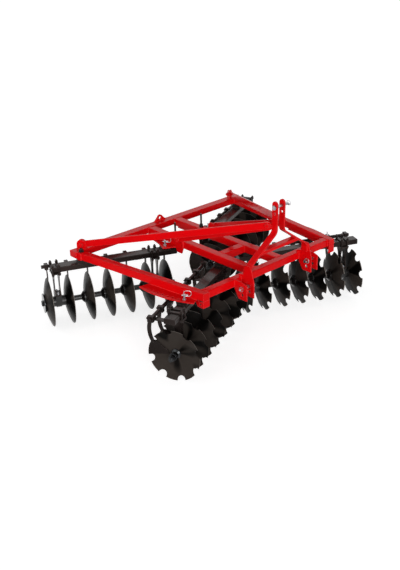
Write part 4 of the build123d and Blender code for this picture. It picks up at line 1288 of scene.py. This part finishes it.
    def brace_bolts(self) -> Shell:
        """Bolts through the ends of the outer and inner braces, painted with the frame.

        Returns:
            All of them as one skin.
        """
        side = self.brace_axes()[1]
        rear, mast, foot = self.at([self.outer_brace_rear, self.outer_brace_mast, self.inner_brace_foot])
        run = np.array(self.inner_brace_mast) - np.array(self.inner_brace_foot)
        outward = -np.cross(UP, unit((run[0], run[1], 0.0)))
        nut, head = BRACE_NUT.shell(), BRACE_HEAD.shell()
        shank = even_steps(self.at(self.shank_ends), self.shank_radius / 2.0)
        parts = [nut.placed(upright_turn(side), rear + side * self.brace_side),
                 head.placed(upright_turn(-side), rear - side * self.brace_side),
                 head.placed(upright_turn(-side), mast - side * self.flat_half),
                 head.placed(upright_turn(outward), foot + outward * self.flat_half),
                 carried(shank, self.shank_radius, 16)]
        return both_sides(joined(parts))

    def pivot_heads(self) -> Shell:
        """Heads of the rear gangs' pivot bolts on top of the side beams."""
        return both_sides(PIVOT_HEAD.standing(self.at([(*self.pivot_bolt, self.top)]), UP))

    def rod_threads(self) -> Shell:
        """Threads of the two hold-down rods over their nuts, with a second locking nut above.

        Returns:
            All of them as one skin.
        """
        foot = self.at([(self.centre_x, self.rod_y, self.top + self.rod_nut)])[0]
        rise = self.rod_rise - self.rod_nut + self.thread_proud
        thread = threaded(self.rod_radius + self.thread_proud, rise, self.rod_pitch)
        return both_sides(joined([thread.moved(foot), ROD_LOCKNUT.shell().moved(foot)]))

    def pin_turned(self, x: float, profile: Profile) -> Shell:
        """A turned step or boss round the outer end of both lower link pins."""
        there = self.at([(x, *self.hitch_pin)])[0]
        return both_sides(turned(profile, 24).placed(upright_turn(RIGHT), there))

    def pin_bosses(self) -> Shell:
        """Painted bosses welded round the outer ends of the lower link pins."""
        return self.pin_turned(self.boss_x, PIN_BOSS_PROFILE)

    def linch_pins(self) -> Shell:
        """Linch pins in the locking, lower link and top link pins, and the steps of the lower link pins.

        Returns:
            All of them as one skin.
        """
        joints = {j["name"]: j for j in frame["joints"]}
        parts = []
        for gang in (Gang.front(Wing.FRONT_RIGHT, self.shop), Gang.rear(Wing.REAR_RIGHT, self.shop)):
            at = gang.pivot + gang.lock_reach * unit(joints[gang.wing.value + "_spin"]["axis"])
            at[2] = self.floor + self.lock_hole_rise
            parts.append(LOCK_LINCH.shell(at, self.lock_lean))
        parts.append(HITCH_LINCH.shell(self.at([(self.hitch_linch_x, *self.hitch_pin)])[0], AHEAD))
        top = TOP_LINCH.shell(self.at([self.top_linch])[0], AHEAD)
        return joined([both_sides(joined(parts)), top, self.pin_turned(self.step_x, PIN_STEP_PROFILE)])

    def build(self) -> None:
        """Makes the frame's pieces."""
        piece, red, black = self.shop.piece, Slot.RED_PAINT, Slot.BLACK_PAINT
        piece("frame_weld_seams", self.welds(), red, "frame", WELD_CREASE)
        piece("brace_bolts", self.brace_bolts(), red, "frame")
        piece("link_pin_bosses", self.pin_bosses(), red, "frame")
        piece("pivot_bolt_heads", self.pivot_heads(), black, "frame")
        piece("hold_down_threads", self.rod_threads(), black, "frame")
        piece("linch_pins", self.linch_pins(), Slot.ZINC, "frame")


# ---------------------------------------------------------------- the studio
@dataclass(frozen=True)
class Lamp:
    """A broad soft light, far off.

    towards is the direction from the machine to the lamp, strength is in watts a square metre, and softness
    is the angle in degrees that the lamp fills.
    """

    name: str
    towards: Triple
    strength: float
    softness: float

    def build(self) -> None:
        """Hangs the lamp."""
        data = bpy.data.lights.new(self.name, "SUN")
        data.energy = self.strength
        data.angle = math.radians(self.softness)
        lamp = bpy.data.objects.new(self.name, data)
        lamp.rotation_euler = Vector(self.towards).to_track_quat("Z", "Y").to_euler()
        bpy.context.scene.collection.objects.link(lamp)


LAMPS = (Lamp("key_light", (0.50, 0.84, 0.16), 2.65, 40.0),
         Lamp("side_light", (0.96, -0.10, 0.20), 0.95, 60.0),
         Lamp("back_light", (-0.70, -0.62, 0.36), 0.40, 70.0),
         Lamp("edge_light", (0.42, -0.62, 0.66), 0.25, 20.0),
         Lamp("top_light", (-0.60, 0.42, 0.68), 0.25, 20.0))
WHITE: Colour = (1.0, 1.0, 1.0, 1.0)


@dataclass
class Studio:
    """A plain white floor under soft even light, and the camera."""

    eye: Triple = (4.8963, 5.1853, 3.6327)
    azimuth: float = -42.4412
    elevation: float = 25.5987
    roll: float = -1.2
    lens: float = 51.9
    sensor: float = 36.0
    far: float = 400.0
    reach: float = 90.0
    sky: float = 0.20
    floor_glow: float = 0.77
    floor_shown: Colour = (0.52, 0.52, 0.52, 1.0)
    floor_pale: tuple[Colour, Colour] = ((0.72, 0.72, 0.72, 1.0), (0.74, 0.74, 0.74, 1.0))
    floor_z: float = -0.0004

    def seen(self, recipe: Recipe) -> Socket:
        """Tells the rays that show a surface from those that only light the machine.

        Args:
            recipe: the tree that asks.

        Returns:
            1 for rays from the camera and for those that shine off or through something, otherwise 0.
        """
        path = recipe.node("ShaderNodeLightPath").outputs
        first = recipe.larger(path["Is Camera Ray"], path["Is Glossy Ray"])
        return recipe.larger(first, path["Is Transmission Ray"])

    def floor(self) -> None:
        """The floor: pale to the light that it throws back, and seen as white with the machine's shadow."""
        recipe = Recipe(bpy.data.materials.new("studio_floor"))
        pale = recipe.tone(recipe.spread(recipe.noise(3.0, 4.0), 0.3, 0.7, 0.98, 1.0), *self.floor_pale)
        bounce = recipe.node("ShaderNodeBsdfDiffuse", {"Color": pale})
        shaded = recipe.node("ShaderNodeBsdfDiffuse", {"Color": self.floor_shown})
        glow = recipe.node("ShaderNodeEmission", {"Color": WHITE, "Strength": self.floor_glow})
        shown = recipe.node("ShaderNodeAddShader", {0: shaded.outputs[0], 1: glow.outputs[0]})
        ways = {0: self.seen(recipe), 1: bounce.outputs[0], 2: shown.outputs[0]}
        both = recipe.node("ShaderNodeMixShader", ways)
        recipe.node("ShaderNodeOutputMaterial", {"Surface": both.outputs[0]})
        mesh = bpy.data.meshes.new("studio_floor")
        edge = self.reach
        mesh.from_pydata([(-edge, -edge, 0.0), (edge, -edge, 0.0), (edge, edge, 0.0), (-edge, edge, 0.0)], [],
                         [(0, 1, 2, 3)])
        mesh.materials.append(recipe.owner)
        sheet = bpy.data.objects.new("studio_floor", mesh)
        sheet.location.z = self.floor_z
        bpy.context.scene.collection.objects.link(sheet)
        sheet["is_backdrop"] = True

    def world(self) -> None:
        """A white surround that lights softly and is seen at full white."""
        recipe = Recipe(bpy.data.worlds.new("studio_world"))
        soft = recipe.node("ShaderNodeBackground", {"Color": WHITE, "Strength": self.sky})
        white = recipe.node("ShaderNodeBackground", {"Color": WHITE, "Strength": 1.0})
        ways = {0: self.seen(recipe), 1: soft.outputs[0], 2: white.outputs[0]}
        both = recipe.node("ShaderNodeMixShader", ways)
        recipe.node("ShaderNodeOutputWorld", {"Surface": both.outputs[0]})
        bpy.context.scene.world = recipe.owner

    def camera(self) -> None:
        """The camera, looking from the machine's front right."""
        az, el, roll = (math.radians(v) for v in (self.azimuth, self.elevation, self.roll))
        ahead = Vector((math.sin(az) * math.cos(el), -math.cos(az) * math.cos(el), -math.sin(el)))
        right = ahead.cross(Vector(UP)).normalized()
        up = right.cross(ahead)
        across = right * math.cos(roll) + up * math.sin(roll)
        upward = up * math.cos(roll) - right * math.sin(roll)
        data = bpy.data.cameras.new("studio_camera")
        data.sensor_fit = "VERTICAL"
        data.sensor_height = self.sensor
        data.lens = self.lens
        data.clip_end = self.far
        eye = bpy.data.objects.new("studio_camera", data)
        turn = Matrix((across, upward, -ahead)).transposed().to_4x4()
        eye.matrix_world = Matrix.Translation(self.eye) @ turn
        bpy.context.scene.collection.objects.link(eye)
        bpy.context.scene.camera = eye

    def build(self) -> None:
        """Sets up camera, floor, surround, lamps and the plain view transform."""
        self.camera()
        self.floor()
        self.world()
        for lamp in LAMPS:
            lamp.build()
        bpy.context.scene.view_settings.view_transform = "Standard"


def corners() -> list[list[float]]:
    """The lowest and highest corner of the whole machine as plain numbers."""
    return [[float(v) for v in corner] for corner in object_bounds()]


def main() -> None:
    """Builds the studio, the finishes and every sub-assembly."""
    logging.basicConfig(level=logging.INFO, format="%(name)s %(message)s")
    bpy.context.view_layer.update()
    Studio().build()
    shop = Paintshop()
    shop.open()
    shop.coat_frame()
    for wing in Wing:
        gang = Gang.front(wing, shop) if wing.is_front else Gang.rear(wing, shop)
        gang.build()
    FrameIronwork(shop).build()


if __name__ == "__main__":
    main()
